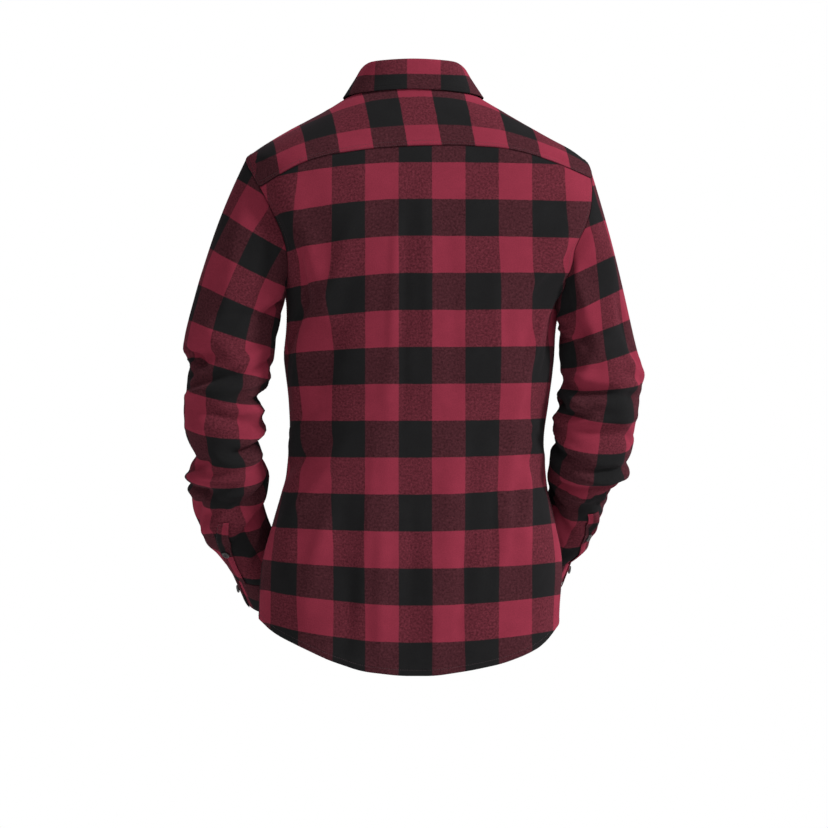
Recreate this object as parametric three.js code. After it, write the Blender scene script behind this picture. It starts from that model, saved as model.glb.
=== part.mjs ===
import * as THREE from 'three';

// Flannel shirt as worn: a loose torso with a yoke, a stand collar with a
// fold-over leaf, two sleeves bent forward at the elbow and a buttoned front.
// Units are millimetres. +X is the wearer's left, +Y the back, +Z up.
// The origin is the middle of the neck, level with the top of the shoulders.

// Cloth and seams
const CLOTH = 1.6;
const COLLAR_CLOTH = 1.8;
const SEAM_PULL = 0.16;
const LAY_GAP = 0.35;
const FRONT_LAP = 2.6;
const BAND_HALF = 17.5;
const ARC_RADIUS = 170;
const SLEEVE_RADIUS = 55;

// Grid counts
const SIDE_ROWS = 15;
const ARM_SIDE = 9;
const ARM_YOKE = 3;
const BACK_COLS = 22;
const SHOULDER_ROWS = 5;
const NECK_COLS = 6;
const HEAD_RINGS = 6;
const ARM_RINGS = 22;

// Back and front sections: exponent of the rounded oval on each side
const BACK_POWER = 2.35;
const FRONT_POWER = 2.15;

// Torso sections from the neck down: height, half width on the wearer's left
// and right, back depth and front depth from the shoulder line
const TORSO = [
  { z: 30, left: 54, right: 54, back: 48, front: 34 },
  { z: 14, left: 66, right: 66, back: 56, front: 44 },
  { z: 6, left: 76, right: 76, back: 60, front: 50 },
  { z: 0, left: 87, right: 88, back: 65, front: 54 },
  { z: -9, left: 102, right: 103, back: 73, front: 58 },
  { z: -18, left: 117, right: 119, back: 81, front: 62 },
  { z: -32, left: 142, right: 142, back: 91, front: 68 },
  { z: -45, left: 167, right: 165, back: 99, front: 74 },
  { z: -59, left: 191, right: 190, back: 107, front: 80 },
  { z: -73, left: 213, right: 216, back: 114, front: 87 },
  { z: -87, left: 230, right: 235, back: 120, front: 94 },
  { z: -105, left: 231, right: 250, back: 125, front: 102 },
  { z: -130, left: 227, right: 262, back: 131, front: 111 },
  { z: -160, left: 217, right: 268, back: 137, front: 119 },
  { z: -200, left: 200, right: 262, back: 140, front: 127 },
  { z: -240, left: 185, right: 238, back: 140, front: 131 },
  { z: -275, left: 175, right: 210, back: 137, front: 132 },
  { z: -300, left: 173, right: 199, back: 134, front: 131 },
  { z: -325, left: 174, right: 195, back: 131, front: 129 },
  { z: -345, left: 176, right: 194, back: 128, front: 128 },
  { z: -370, left: 175, right: 192, back: 125, front: 126 },
  { z: -417, left: 170, right: 186, back: 119, front: 124 },
  { z: -472, left: 169, right: 179, back: 114, front: 122 },
  { z: -527, left: 176, right: 183, back: 116, front: 123 },
  { z: -582, left: 191, right: 194, back: 124, front: 126 },
  { z: -637, left: 206, right: 204, back: 131, front: 129 },
  { z: -700, left: 211, right: 201, back: 135, front: 131 },
  { z: -800, left: 210, right: 196, back: 138, front: 133 },
];

// Hem heights across the back, by distance to the wearer's left
const HEM_BACK = [
  { x: 214, z: -712 }, { x: 206, z: -722 }, { x: 190, z: -735 }, { x: 161, z: -749 },
  { x: 113, z: -771 }, { x: 70, z: -785 }, { x: 18, z: -791 }, { x: -30, z: -791 },
  { x: -78, z: -784 }, { x: -122, z: -775 }, { x: -158, z: -762 }, { x: -182, z: -748 },
  { x: -195, z: -730 }, { x: -204, z: -716 },
];

// Hem heights across the front, finished like the back
const HEM_FRONT = [
  { x: 214, z: -712 }, { x: 202, z: -722 }, { x: 165, z: -742 }, { x: 113, z: -763 },
  { x: 60, z: -775 }, { x: 0, z: -778 }, { x: -60, z: -775 }, { x: -113, z: -764 },
  { x: -160, z: -746 }, { x: -192, z: -728 }, { x: -204, z: -716 },
];

// Yoke seam heights across the back
const YOKE_SEAM = [
  { x: 230, z: -134 }, { x: 209, z: -127 }, { x: 180, z: -109 }, { x: 151, z: -94 },
  { x: 115, z: -84 }, { x: 60, z: -76 }, { x: 0, z: -72 }, { x: -60, z: -71 },
  { x: -120, z: -74 }, { x: -160, z: -82 }, { x: -198, z: -95 }, { x: -241, z: -113 },
  { x: -260, z: -120 },
];

// Armholes: top, bottom, reach to the back and the front, and where the yoke ends
const ARMHOLES = {
  left: { dir: 1, top: -84, low: -271, back: 80, front: 72, yokeBack: 56, yokeFront: 328 },
  right: { dir: -1, top: -92, low: -297, back: 80, front: 72, yokeBack: 36, yokeFront: 328 },
};

// Sleeve sections from under the arm to the cuff: height, outer and inner edge,
// depth position of the middle, half depth and forward tilt in degrees
const SLEEVES = {
  left: [
    { z: -300, out: 306, inn: 183, y: 12, deep: 62, tilt: 0 },
    { z: -325, out: 312, inn: 188, y: 15, deep: 61, tilt: 0 },
    { z: -348, out: 315, inn: 190, y: 17, deep: 60, tilt: 0 },
    { z: -359, out: 305, inn: 191, y: 18, deep: 59, tilt: 1 },
    { z: -378, out: 308, inn: 195, y: 20, deep: 59, tilt: 2 },
    { z: -404, out: 311, inn: 208, y: 22, deep: 58, tilt: 4 },
    { z: -431, out: 314, inn: 210, y: 23, deep: 57, tilt: 8 },
    { z: -453, out: 311, inn: 207, y: 21, deep: 56, tilt: 12 },
    { z: -475, out: 305, inn: 211, y: 17, deep: 54, tilt: 16 },
    { z: -497, out: 295, inn: 209, y: 11, deep: 53, tilt: 20 },
    { z: -515, out: 305, inn: 200, y: 3, deep: 55, tilt: 25 },
    { z: -532, out: 308, inn: 202, y: -6, deep: 53, tilt: 28 },
    { z: -547, out: 304, inn: 209, y: -16, deep: 50, tilt: 31 },
    { z: -566, out: 302, inn: 206, y: -30, deep: 50, tilt: 34 },
    { z: -587, out: 294, inn: 200, y: -47, deep: 47, tilt: 37 },
    { z: -608, out: 281, inn: 192, y: -65, deep: 44, tilt: 39 },
    { z: -628, out: 266, inn: 184, y: -83, deep: 41, tilt: 41 },
    { z: -648, out: 251, inn: 176, y: -102, deep: 37, tilt: 43 },
  ],
  right: [
    { z: -332, out: 303, inn: 204, y: 12, deep: 60, tilt: 0 },
    { z: -352, out: 308, inn: 201, y: 16, deep: 60, tilt: 0 },
    { z: -368, out: 313, inn: 203, y: 20, deep: 59, tilt: 2 },
    { z: -389, out: 315, inn: 205, y: 24, deep: 58, tilt: 4 },
    { z: -415, out: 311, inn: 202, y: 25, deep: 57, tilt: 8 },
    { z: -440, out: 306, inn: 198, y: 22, deep: 55, tilt: 12 },
    { z: -465, out: 302, inn: 195, y: 15, deep: 54, tilt: 17 },
    { z: -488, out: 298, inn: 190, y: 5, deep: 53, tilt: 22 },
    { z: -508, out: 291, inn: 188, y: -7, deep: 53, tilt: 26 },
    { z: -525, out: 282, inn: 188, y: -19, deep: 51, tilt: 30 },
    { z: -539, out: 269, inn: 188, y: -36, deep: 47, tilt: 32 },
    { z: -556, out: 267, inn: 184, y: -53, deep: 47, tilt: 34 },
    { z: -575, out: 258, inn: 177, y: -72, deep: 44, tilt: 37 },
    { z: -594, out: 250, inn: 171, y: -91, deep: 41, tilt: 39 },
    { z: -610, out: 243, inn: 166, y: -106, deep: 40, tilt: 41 },
    { z: -625, out: 223, inn: 159, y: -121, deep: 37, tilt: 43 },
  ],
};

// Cuffs: how far the far end lies from the sleeve end
const CUFFS = {
  left: { dx: -15, dy: -46, dz: -42, wide: 0.95, deep: 0.96 },
  right: { dx: 13, dy: -46, dz: -42, wide: 0.95, deep: 0.96 },
};
const CUFF_ROWS = 3;
const CUFF_LAP = 2;
const CUFF_START = 0.009;

// Collar: stand height and lean, and the lower edge of the leaf by turn from
// the front, with the turn where it lies on the body and its height
const STAND_HEIGHT = 31;
const STAND_LEAN = 14;
const LEAF_STANDOFF = 3.4;
const LEAF_EDGE = [
  { turn: 180, lies: 180, z: 7 },
  { turn: 150, lies: 150, z: 5 },
  { turn: 120, lies: 120, z: 1 },
  { turn: 90, lies: 91, z: -4 },
  { turn: 75, lies: 77, z: -7 },
  { turn: 60, lies: 63, z: -19 },
  { turn: 40, lies: 47.5, z: -44 },
  { turn: 20, lies: 36, z: -67 },
  { turn: 8, lies: 28.5, z: -86 },
  { turn: 0, lies: 23.5, z: -101 },
];

// Soft folds of the torso: place round the body from the wearer's left,
// height, angle from upright, half length, half width and swell
const TORSO_FOLDS = [
  { at: 108, z: -205, lean: -14, long: 95, wide: 17, rise: 9 },
  { at: 82, z: -345, lean: 24, long: 85, wide: 15, rise: 6 },
  { at: 105, z: -400, lean: 30, long: 80, wide: 14, rise: -5 },
  { at: 55, z: -468, lean: 74, long: 46, wide: 10, rise: 4 },
  { at: 48, z: -505, lean: 68, long: 52, wide: 11, rise: -4 },
  { at: 70, z: -610, lean: -12, long: 95, wide: 20, rise: 5 },
  { at: 150, z: -640, lean: -5, long: 110, wide: 22, rise: -4 },
  { at: 215, z: -500, lean: 3, long: 150, wide: 16, rise: 3 },
  { at: 330, z: -600, lean: 5, long: 130, wide: 22, rise: 5 },
  { at: 372, z: -560, lean: 8, long: 120, wide: 15, rise: -4 },
  { at: 405, z: -330, lean: -12, long: 110, wide: 15, rise: 6 },
  { at: 432, z: -400, lean: -6, long: 120, wide: 13, rise: 5 },
  { at: 420, z: -370, lean: -10, long: 90, wide: 10, rise: -4 },
  { at: 452, z: -215, lean: 18, long: 80, wide: 15, rise: 5 },
  { at: 478, z: -480, lean: -68, long: 48, wide: 11, rise: 4 },
  { at: 490, z: -520, lean: -60, long: 50, wide: 12, rise: -3 },
  { at: -62, z: -330, lean: -24, long: 95, wide: 16, rise: 5 },
  { at: -95, z: -450, lean: -10, long: 110, wide: 18, rise: -4 },
  { at: -70, z: -590, lean: 10, long: 100, wide: 20, rise: 5 },
  { at: -150, z: -640, lean: 4, long: 110, wide: 22, rise: 4 },
  { at: -190, z: -300, lean: -20, long: 110, wide: 18, rise: 4 },
  { at: -330, z: -290, lean: 20, long: 110, wide: 18, rise: 4 },
  { at: -385, z: -620, lean: -6, long: 110, wide: 20, rise: 4 },
  { at: -440, z: -440, lean: 10, long: 110, wide: 17, rise: -4 },
  { at: -468, z: -340, lean: 22, long: 90, wide: 15, rise: 4 },
];

// Soft folds of the sleeves: turn round the arm from the outside in degrees,
// distance down from the first full ring, angle from straight down, half
// length, half width and swell
const SLEEVE_FOLDS = {
  left: [
    { turn: 60, down: -90, lean: 30, long: 75, wide: 14, rise: 5 },
    { turn: 120, down: -20, lean: 20, long: 80, wide: 13, rise: 5 },
    { turn: 95, down: 60, lean: -40, long: 60, wide: 12, rise: 4 },
    { turn: 150, down: 95, lean: 70, long: 45, wide: 10, rise: -5 },
    { turn: 40, down: 60, lean: 72, long: 40, wide: 9, rise: -5 },
    { turn: 100, down: 140, lean: 60, long: 55, wide: 12, rise: 4 },
    { turn: 70, down: 205, lean: 84, long: 95, wide: 12, rise: 7 },
    { turn: 75, down: 232, lean: 86, long: 80, wide: 9, rise: -6 },
    { turn: 110, down: 285, lean: 60, long: 50, wide: 12, rise: 4 },
    { turn: 250, down: 150, lean: -70, long: 60, wide: 12, rise: 5 },
    { turn: 270, down: 190, lean: -80, long: 70, wide: 11, rise: -5 },
    { turn: 300, down: 60, lean: 20, long: 90, wide: 15, rise: 4 },
    { turn: 250, down: 290, lean: 40, long: 50, wide: 12, rise: 4 },
  ],
  right: [
    { turn: 70, down: -110, lean: 24, long: 75, wide: 14, rise: 5 },
    { turn: 125, down: -50, lean: 30, long: 60, wide: 13, rise: 6 },
    { turn: 130, down: 20, lean: -30, long: 55, wide: 11, rise: -5 },
    { turn: 70, down: 60, lean: 20, long: 80, wide: 14, rise: 4 },
    { turn: 120, down: 130, lean: 60, long: 50, wide: 11, rise: 4 },
    { turn: 60, down: 185, lean: 82, long: 80, wide: 11, rise: 6 },
    { turn: 62, down: 212, lean: 84, long: 80, wide: 9, rise: -6 },
    { turn: 90, down: 262, lean: 50, long: 50, wide: 12, rise: 4 },
    { turn: 255, down: 120, lean: -70, long: 60, wide: 12, rise: 5 },
    { turn: 275, down: 160, lean: -80, long: 70, wide: 11, rise: -5 },
    { turn: 300, down: 40, lean: 20, long: 90, wide: 15, rise: 4 },
    { turn: 250, down: 250, lean: 40, long: 50, wide: 12, rise: 4 },
  ],
};

// Sleeve plackets: turn round the arm at the top and the cuff, top height on
// the sleeve as a share of its length, and half width
const SLEEVE_BANDS = {
  left: { top: 84, low: 50, from: 0.68, half: 8.5 },
  right: { top: 62, low: 34, from: 0.68, half: 8.5 },
};

// Buttons
const BUTTON_RADIUS = 5.5;
const BUTTON_THICK = 2.4;
const BUTTON_FACETS = 12;
const SLEEVE_BUTTON_AT = 0.47;
const FRONT_BUTTON_HEIGHTS = [-112, -206, -300, -394, -488, -582, -676];

const RED = 0x7a2a39;
const DARK = 0x1d1c1e;

const rad = (deg) => (deg * Math.PI) / 180;
const clamp = (value, low, high) => Math.min(high, Math.max(low, value));
const mix = (a, b, t) => a + (b - a) * t;
const smooth = (from, to, value) => {
  const t = clamp((value - from) / (to - from), 0, 1);
  return t * t * (3 - 2 * t);
};
const vec = (x, y, z) => new THREE.Vector3(x, y, z);

// Smooth value of a table column at a place between its rows
function splineRow(rows, place, key) {
  const last = rows.length - 1;
  const at = clamp(place, 0, last);
  const i = Math.min(Math.floor(at), last - 1);
  const t = at - i;
  const p0 = rows[Math.max(i - 1, 0)][key];
  const p1 = rows[i][key];
  const p2 = rows[i + 1][key];
  const p3 = rows[Math.min(i + 2, last)][key];
  const m1 = (p2 - p0) / 2;
  const m2 = (p3 - p1) / 2;
  const a = 2 * t * t * t - 3 * t * t + 1;
  const b = t * t * t - 2 * t * t + t;
  const c = -2 * t * t * t + 3 * t * t;
  const d = t * t * t - t * t;
  return a * p1 + b * m1 + c * p2 + d * m2;
}

// Place in a table whose key column falls from row to row
function placeFalling(rows, key, value) {
  const last = rows.length - 1;
  if (value >= rows[0][key]) return 0;
  if (value <= rows[last][key]) return last;
  let i = 0;
  while (rows[i + 1][key] > value) i += 1;
  return i + (rows[i][key] - value) / (rows[i][key] - rows[i + 1][key]);
}

// Straight-line value of a table by its first column, falling
function lineRow(rows, key, column, value) {
  const place = placeFalling(rows, key, value);
  const i = Math.min(Math.floor(place), rows.length - 2);
  return mix(rows[i][column], rows[i + 1][column], place - i);
}

// Swell of the torso folds at an angle and a height
function foldSwell(folds, at, along, wrap) {
  let sum = 0;
  for (const fold of folds) {
    let du = at - fold.u;
    if (wrap) du -= wrap * Math.round(du / wrap);
    const dv = along - fold.v;
    const sin = Math.sin(rad(fold.lean));
    const cos = Math.cos(rad(fold.lean));
    const p = (du * sin + dv * cos) / fold.long;
    const q = (du * cos - dv * sin) / fold.wide;
    if (Math.abs(p) < 2 && Math.abs(q) < 3) {
      sum += fold.rise * Math.exp(-q * q) * Math.exp(-p * p * p * p);
    }
  }
  return sum;
}

const ROUND_WRAP = 2 * Math.PI * ARC_RADIUS;
const torsoFolds = TORSO_FOLDS.map((f) => ({ ...f, u: f.at, v: f.z }));

// Point of the torso skin at an angle from the wearer's left and a height
function torsoPoint(turn, z, under = false) {
  const place = placeFalling(TORSO, 'z', z);
  const cos = Math.cos(turn);
  const sin = Math.sin(turn);
  const wide = cos >= 0 ? splineRow(TORSO, place, 'left') : splineRow(TORSO, place, 'right');
  const deep = sin >= 0 ? splineRow(TORSO, place, 'back') : splineRow(TORSO, place, 'front');
  const power = mix(FRONT_POWER, BACK_POWER, smooth(-0.5, 0.5, sin));
  const sum = (Math.abs(cos) / wide) ** power + (Math.abs(sin) / deep) ** power;
  let reach = 1 / sum ** (1 / power);
  const body = smooth(-60, -130, z);
  reach += body * foldSwell(torsoFolds, turn * ARC_RADIUS, z, ROUND_WRAP);
  const point = vec(reach * cos, reach * sin, z);
  if (under) {
    const lap = FRONT_LAP * smooth(-50, -23, point.x) * (sin < 0 ? 1 : 0);
    point.x -= cos * lap;
    point.y -= sin * lap;
  }
  return point;
}

// Outward normal from two neighbouring points each way
function normalFrom(along, across) {
  return new THREE.Vector3().crossVectors(along, across).normalize();
}

function torsoNormal(turn, z, under = false) {
  const step = 0.012;
  const rise = 2;
  const along = torsoPoint(turn + step, z, under).sub(torsoPoint(turn - step, z, under));
  const up = torsoPoint(turn, z + rise, under).sub(torsoPoint(turn, z - rise, under));
  return normalFrom(along, up);
}

// Angle where the torso at a height reaches a given x, on the back or front
function turnAtX(z, x, back) {
  let low = 0;
  let high = Math.PI;
  for (let i = 0; i < 40; i += 1) {
    const mid = (low + high) / 2;
    const point = torsoPoint(back ? mid : -mid, z);
    if (point.x > x) low = mid;
    else high = mid;
  }
  return back ? (low + high) / 2 : -(low + high) / 2;
}

// Angle where the torso at a height reaches a given y near one side
function turnAtY(z, y, dir) {
  let low = -Math.PI / 2;
  let high = Math.PI / 2;
  for (let i = 0; i < 40; i += 1) {
    const mid = (low + high) / 2;
    const turn = dir > 0 ? mid : Math.PI - mid;
    if (torsoPoint(turn, z).y < y) low = mid;
    else high = mid;
  }
  const mid = (low + high) / 2;
  return dir > 0 ? mid : Math.PI - mid;
}

// Height of the neck seam at an angle, low at the front
function neckHeight(turn) {
  const lift = 0.5 - 0.5 * Math.sin(turn);
  return 13 - 3 * Math.cos(turn) ** 2 - 74 * lift ** 5;
}

// Armhole seam: turn 0 at the shoulder, 90 at the back, 180 under the arm
function armholeSpot(name, turn) {
  const hole = ARMHOLES[name];
  const cos = Math.cos(rad(turn));
  const sin = Math.sin(rad(turn));
  const z = hole.top + (hole.low - hole.top) * (1 - cos) / 2;
  const y = (sin >= 0 ? hole.back : hole.front) * sin * (1 - 0.12 * cos);
  return { turn: turnAtY(z, y, hole.dir), z };
}

// Sleeve seam turns in order, with a point at each end of the yoke
function armTurns(name) {
  const hole = ARMHOLES[name];
  const list = [];
  for (let i = 0; i < ARM_YOKE; i += 1) list.push(mix(0, hole.yokeBack, i / ARM_YOKE));
  for (let i = 0; i < ARM_SIDE; i += 1) list.push(mix(hole.yokeBack, 180, i / ARM_SIDE));
  for (let i = 0; i < ARM_SIDE; i += 1) list.push(mix(180, hole.yokeFront, i / ARM_SIDE));
  for (let i = 0; i < ARM_YOKE; i += 1) list.push(mix(hole.yokeFront, 360, i / ARM_YOKE));
  return list;
}

// Ring of the sleeve below the armhole, at a place in the section table
function sleeveSection(name, place, turn) {
  const rows = SLEEVES[name];
  const dir = ARMHOLES[name].dir;
  const out = splineRow(rows, place, 'out');
  const inn = splineRow(rows, place, 'inn');
  const deep = splineRow(rows, place, 'deep');
  const tilt = rad(splineRow(rows, place, 'tilt'));
  const y = splineRow(rows, place, 'y');
  const z = splineRow(rows, place, 'z');
  const cos = Math.cos(rad(turn));
  const sin = Math.sin(rad(turn));
  const x = (out + inn) / 2 + ((out - inn) / 2) * cos;
  return vec(dir * x, y + deep * sin * Math.cos(tilt), z - deep * sin * Math.sin(tilt));
}

// Distance down the middle of the sleeve at each row of its table
const sleeveLengths = {};
for (const name of ['left', 'right']) {
  const rows = SLEEVES[name];
  const list = [0];
  for (let i = 1; i < rows.length; i += 1) {
    const a = rows[i - 1];
    const b = rows[i];
    const step = Math.hypot((b.out + b.inn - a.out - a.inn) / 2, b.y - a.y, b.z - a.z);
    list.push(list[i - 1] + step);
  }
  sleeveLengths[name] = list;
}

function sleevePlace(name, down) {
  const list = sleeveLengths[name];
  const last = list.length - 1;
  if (down <= 0) return 0;
  if (down >= list[last]) return last;
  let i = 0;
  while (list[i + 1] < down) i += 1;
  return i + (down - list[i]) / (list[i + 1] - list[i]);
}

const sleeveFolds = {};
for (const name of ['left', 'right']) {
  sleeveFolds[name] = SLEEVE_FOLDS[name].map((f) => {
    const lean = f.lean;
    return { ...f, u: rad(f.turn) * SLEEVE_RADIUS, v: -f.down, lean };
  });
}
const SLEEVE_WRAP = 2 * Math.PI * SLEEVE_RADIUS;
const HEAD_LENGTH = 150;

// Sleeve skin: share from -1 at the armhole to 0 at the first full ring, then
// to 1 at the cuff
function sleevePlain(name, share, turn) {
  if (share >= 0) {
    const list = sleeveLengths[name];
    return sleeveSection(name, sleevePlace(name, share * list[list.length - 1]), turn);
  }
  const spot = armholeSpot(name, turn);
  const ring = sleeveSection(name, 0, turn);
  const t = 1 + share;
  const point = torsoPoint(spot.turn, spot.z).lerp(ring, t);
  const cos = Math.cos(rad(turn));
  const sin = Math.sin(rad(turn));
  const swell = Math.sin(Math.PI * t) * (1 - 0.35 * t);
  const dir = ARMHOLES[name].dir;
  const outward = name === 'left' ? 7 : 4;
  point.x += dir * swell * outward * (0.4 + 0.6 * cos);
  point.y += swell * 7 * sin;
  point.z += swell * 3 * Math.max(cos, 0);
  return point;
}

function sleeveNormalOf(pointAt, name, share, turn) {
  const du = 3;
  const ds = 0.012;
  const a = pointAt(name, share, turn + du).sub(pointAt(name, share, turn - du));
  const low = Math.max(share - ds, -1);
  const high = Math.min(share + ds, 1);
  const b = pointAt(name, low, turn).sub(pointAt(name, high, turn));
  const normal = normalFrom(a, b);
  return ARMHOLES[name].dir > 0 ? normal : normal.negate();
}

function sleevePoint(name, share, turn) {
  const point = sleevePlain(name, share, turn);
  const list = sleeveLengths[name];
  const down = share >= 0 ? share * list[list.length - 1] : share * HEAD_LENGTH;
  const fade = smooth(-1, -0.75, share) * smooth(1, 0.93, share);
  const around = rad(((turn % 360) + 360) % 360) * SLEEVE_RADIUS;
  const swell = fade * foldSwell(sleeveFolds[name], around, -down, SLEEVE_WRAP);
  return point.addScaledVector(sleeveNormalOf(sleevePlain, name, share, turn), swell);
}

function sleeveNormal(name, share, turn) {
  return sleeveNormalOf(sleevePoint, name, share, turn);
}

// Shared direction of the cut where two pieces meet, and its length
function mitre(a, b) {
  const middle = a.clone().add(b).normalize();
  const length = 1 / Math.max(0.6, middle.dot(a));
  return middle.multiplyScalar(length);
}

function armholeMitre(name, turn) {
  const spot = armholeSpot(name, turn);
  return mitre(torsoNormal(spot.turn, spot.z), sleeveNormal(name, -1, turn));
}

// Stand skin: share 0 at the neck seam and 1 at the top edge
function standPoint(turn, share, under = false) {
  const base = torsoPoint(turn, neckHeight(turn), under);
  const front = smooth(0.2, -0.9, Math.sin(turn));
  const lean = mix(STAND_LEAN, 5, front) * share;
  base.x -= Math.cos(turn) * lean;
  base.y -= Math.sin(turn) * lean;
  base.z += STAND_HEIGHT * share;
  return base;
}

function standNormal(turn, share, under = false) {
  const step = 0.02;
  const along = standPoint(turn + step, share, under).sub(standPoint(turn - step, share, under));
  const up = standPoint(turn, share + 0.1, under).sub(standPoint(turn, share - 0.1, under));
  return normalFrom(along, up);
}

function neckMitre(turn, under = false) {
  const z = neckHeight(turn);
  return mitre(torsoNormal(turn, z, under), standNormal(turn, 0, under));
}

// Closed solid between two skins on a grid of points and offset directions
function shell(points, offsets, thick, wrap = false) {
  const rows = points.length;
  const cols = points[0].length;
  const position = [];
  for (const sign of [0.5, -0.5]) {
    for (let i = 0; i < rows; i += 1) {
      for (let j = 0; j < cols; j += 1) {
        const p = points[i][j].clone().addScaledVector(offsets[i][j], sign * thick);
        position.push(p.x, p.y, p.z);
      }
    }
  }
  const under = rows * cols;
  const id = (i, j, base) => base + i * cols + (j % cols);
  const index = [];
  const quad = (a, b, c, d) => index.push(a, b, c, a, c, d);
  const across = wrap ? cols : cols - 1;
  for (let i = 0; i < rows - 1; i += 1) {
    for (let j = 0; j < across; j += 1) {
      quad(id(i, j, 0), id(i, j + 1, 0), id(i + 1, j + 1, 0), id(i + 1, j, 0));
      quad(id(i, j, under), id(i + 1, j, under), id(i + 1, j + 1, under), id(i, j + 1, under));
    }
  }
  for (let j = 0; j < across; j += 1) {
    quad(id(0, j + 1, 0), id(0, j, 0), id(0, j, under), id(0, j + 1, under));
    const n = rows - 1;
    quad(id(n, j, 0), id(n, j + 1, 0), id(n, j + 1, under), id(n, j, under));
  }
  if (!wrap) {
    for (let i = 0; i < rows - 1; i += 1) {
      quad(id(i, 0, 0), id(i + 1, 0, 0), id(i + 1, 0, under), id(i, 0, under));
      const n = cols - 1;
      quad(id(i + 1, n, 0), id(i, n, 0), id(i, n, under), id(i + 1, n, under));
    }
  }
  if (signedVolume(position, index) < 0) {
    for (let k = 0; k < index.length; k += 3) {
      const swap = index[k + 1];
      index[k + 1] = index[k + 2];
      index[k + 2] = swap;
    }
  }
  const geometry = new THREE.BufferGeometry();
  geometry.setAttribute('position', new THREE.Float32BufferAttribute(position, 3));
  geometry.setIndex(index);
  geometry.computeVertexNormals();
  return geometry;
}

function signedVolume(position, index) {
  let sum = 0;
  const at = (k) => vec(position[3 * k], position[3 * k + 1], position[3 * k + 2]);
  for (let k = 0; k < index.length; k += 3) {
    const a = at(index[k]);
    sum += a.dot(at(index[k + 1]).cross(at(index[k + 2]))) / 6;
  }
  return sum;
}

// Draw the named edges of a grid back from the seam
function pullEdges(points, edges, pull = SEAM_PULL) {
  const rows = points.length;
  const cols = points[0].length;
  const out = points.map((row) => row.map((p) => p.clone()));
  const move = (i, j, k, l) => {
    const step = points[k][l].clone().sub(points[i][j]).normalize();
    out[i][j].addScaledVector(step, pull);
  };
  for (let j = 0; j < cols; j += 1) {
    if (edges.includes('first')) move(0, j, 1, j);
    if (edges.includes('last')) move(rows - 1, j, rows - 2, j);
  }
  for (let i = 0; i < rows; i += 1) {
    if (edges.includes('start')) move(i, 0, i, 1);
    if (edges.includes('end')) move(i, cols - 1, i, cols - 2);
  }
  return out;
}

// Spot on the torso skin with the direction of its cut
function spotOn(turn, z, offset = null) {
  return { turn, z, offset };
}

// Grid of spots inside four edges; low and top run across, start and end run up
function patch(low, top, start, end, power) {
  const rows = start.length;
  const cols = low.length;
  const grid = [];
  for (let i = 0; i < rows; i += 1) {
    const t = i / (rows - 1);
    const row = [];
    for (let j = 0; j < cols; j += 1) {
      const s = j / (cols - 1);
      const near = (1 - s) ** power;
      const far = s ** power;
      const value = (key) => {
        const plain = mix(low[j][key], top[j][key], t);
        const left = start[i][key] - mix(low[0][key], top[0][key], t);
        const right = end[i][key] - mix(low[cols - 1][key], top[cols - 1][key], t);
        return plain + near * left + far * right;
      };
      let offset = null;
      if (i === 0) offset = low[j].offset;
      if (i === rows - 1) offset = top[j].offset;
      if (j === 0 && start[i].offset) offset = start[i].offset;
      if (j === cols - 1 && end[i].offset) offset = end[i].offset;
      row.push(spotOn(value('turn'), value('z'), offset));
    }
    grid.push(row);
  }
  return grid;
}

function skinOf(grid, under = false) {
  const points = grid.map((row) => row.map((s) => torsoPoint(s.turn, s.z, under)));
  const offsets = grid.map((row) => row.map((s) => s.offset || torsoNormal(s.turn, s.z, under)));
  return { points, offsets };
}

// Hem spot at an angle, found by a few passes
function hemSpot(turn) {
  const table = Math.sin(turn) >= 0 ? HEM_BACK : HEM_FRONT;
  let z = -760;
  for (let i = 0; i < 6; i += 1) z = lineRow(table, 'x', 'z', torsoPoint(turn, z).x);
  return spotOn(turn, z);
}

function yokeSpot(turn) {
  let z = -90;
  for (let i = 0; i < 8; i += 1) z = lineRow(YOKE_SEAM, 'x', 'z', torsoPoint(turn, z).x);
  return spotOn(turn, z);
}

function armSpot(name, turn) {
  const spot = armholeSpot(name, turn);
  return spotOn(spot.turn, spot.z, armholeMitre(name, turn));
}

const sideTurn = { left: 0, right: Math.PI };

// Side seam spots from the hem up to the armhole, without the last one
function sideSpots(name) {
  const turn = sideTurn[name];
  const low = hemSpot(turn).z;
  const high = ARMHOLES[name].low;
  const list = [];
  for (let i = 0; i < SIDE_ROWS; i += 1) list.push(spotOn(turn, mix(low, high, i / SIDE_ROWS)));
  return list;
}

const armLists = { left: armTurns('left'), right: armTurns('right') };
const armBack = (name) => {
  const list = armLists[name].slice(ARM_YOKE, ARM_YOKE + ARM_SIDE + 1);
  return list.reverse().map((turn) => armSpot(name, turn));
};
const armFront = (name) => {
  const from = ARM_YOKE + ARM_SIDE;
  return armLists[name].slice(from, from + ARM_SIDE + 1).map((turn) => armSpot(name, turn));
};

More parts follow.
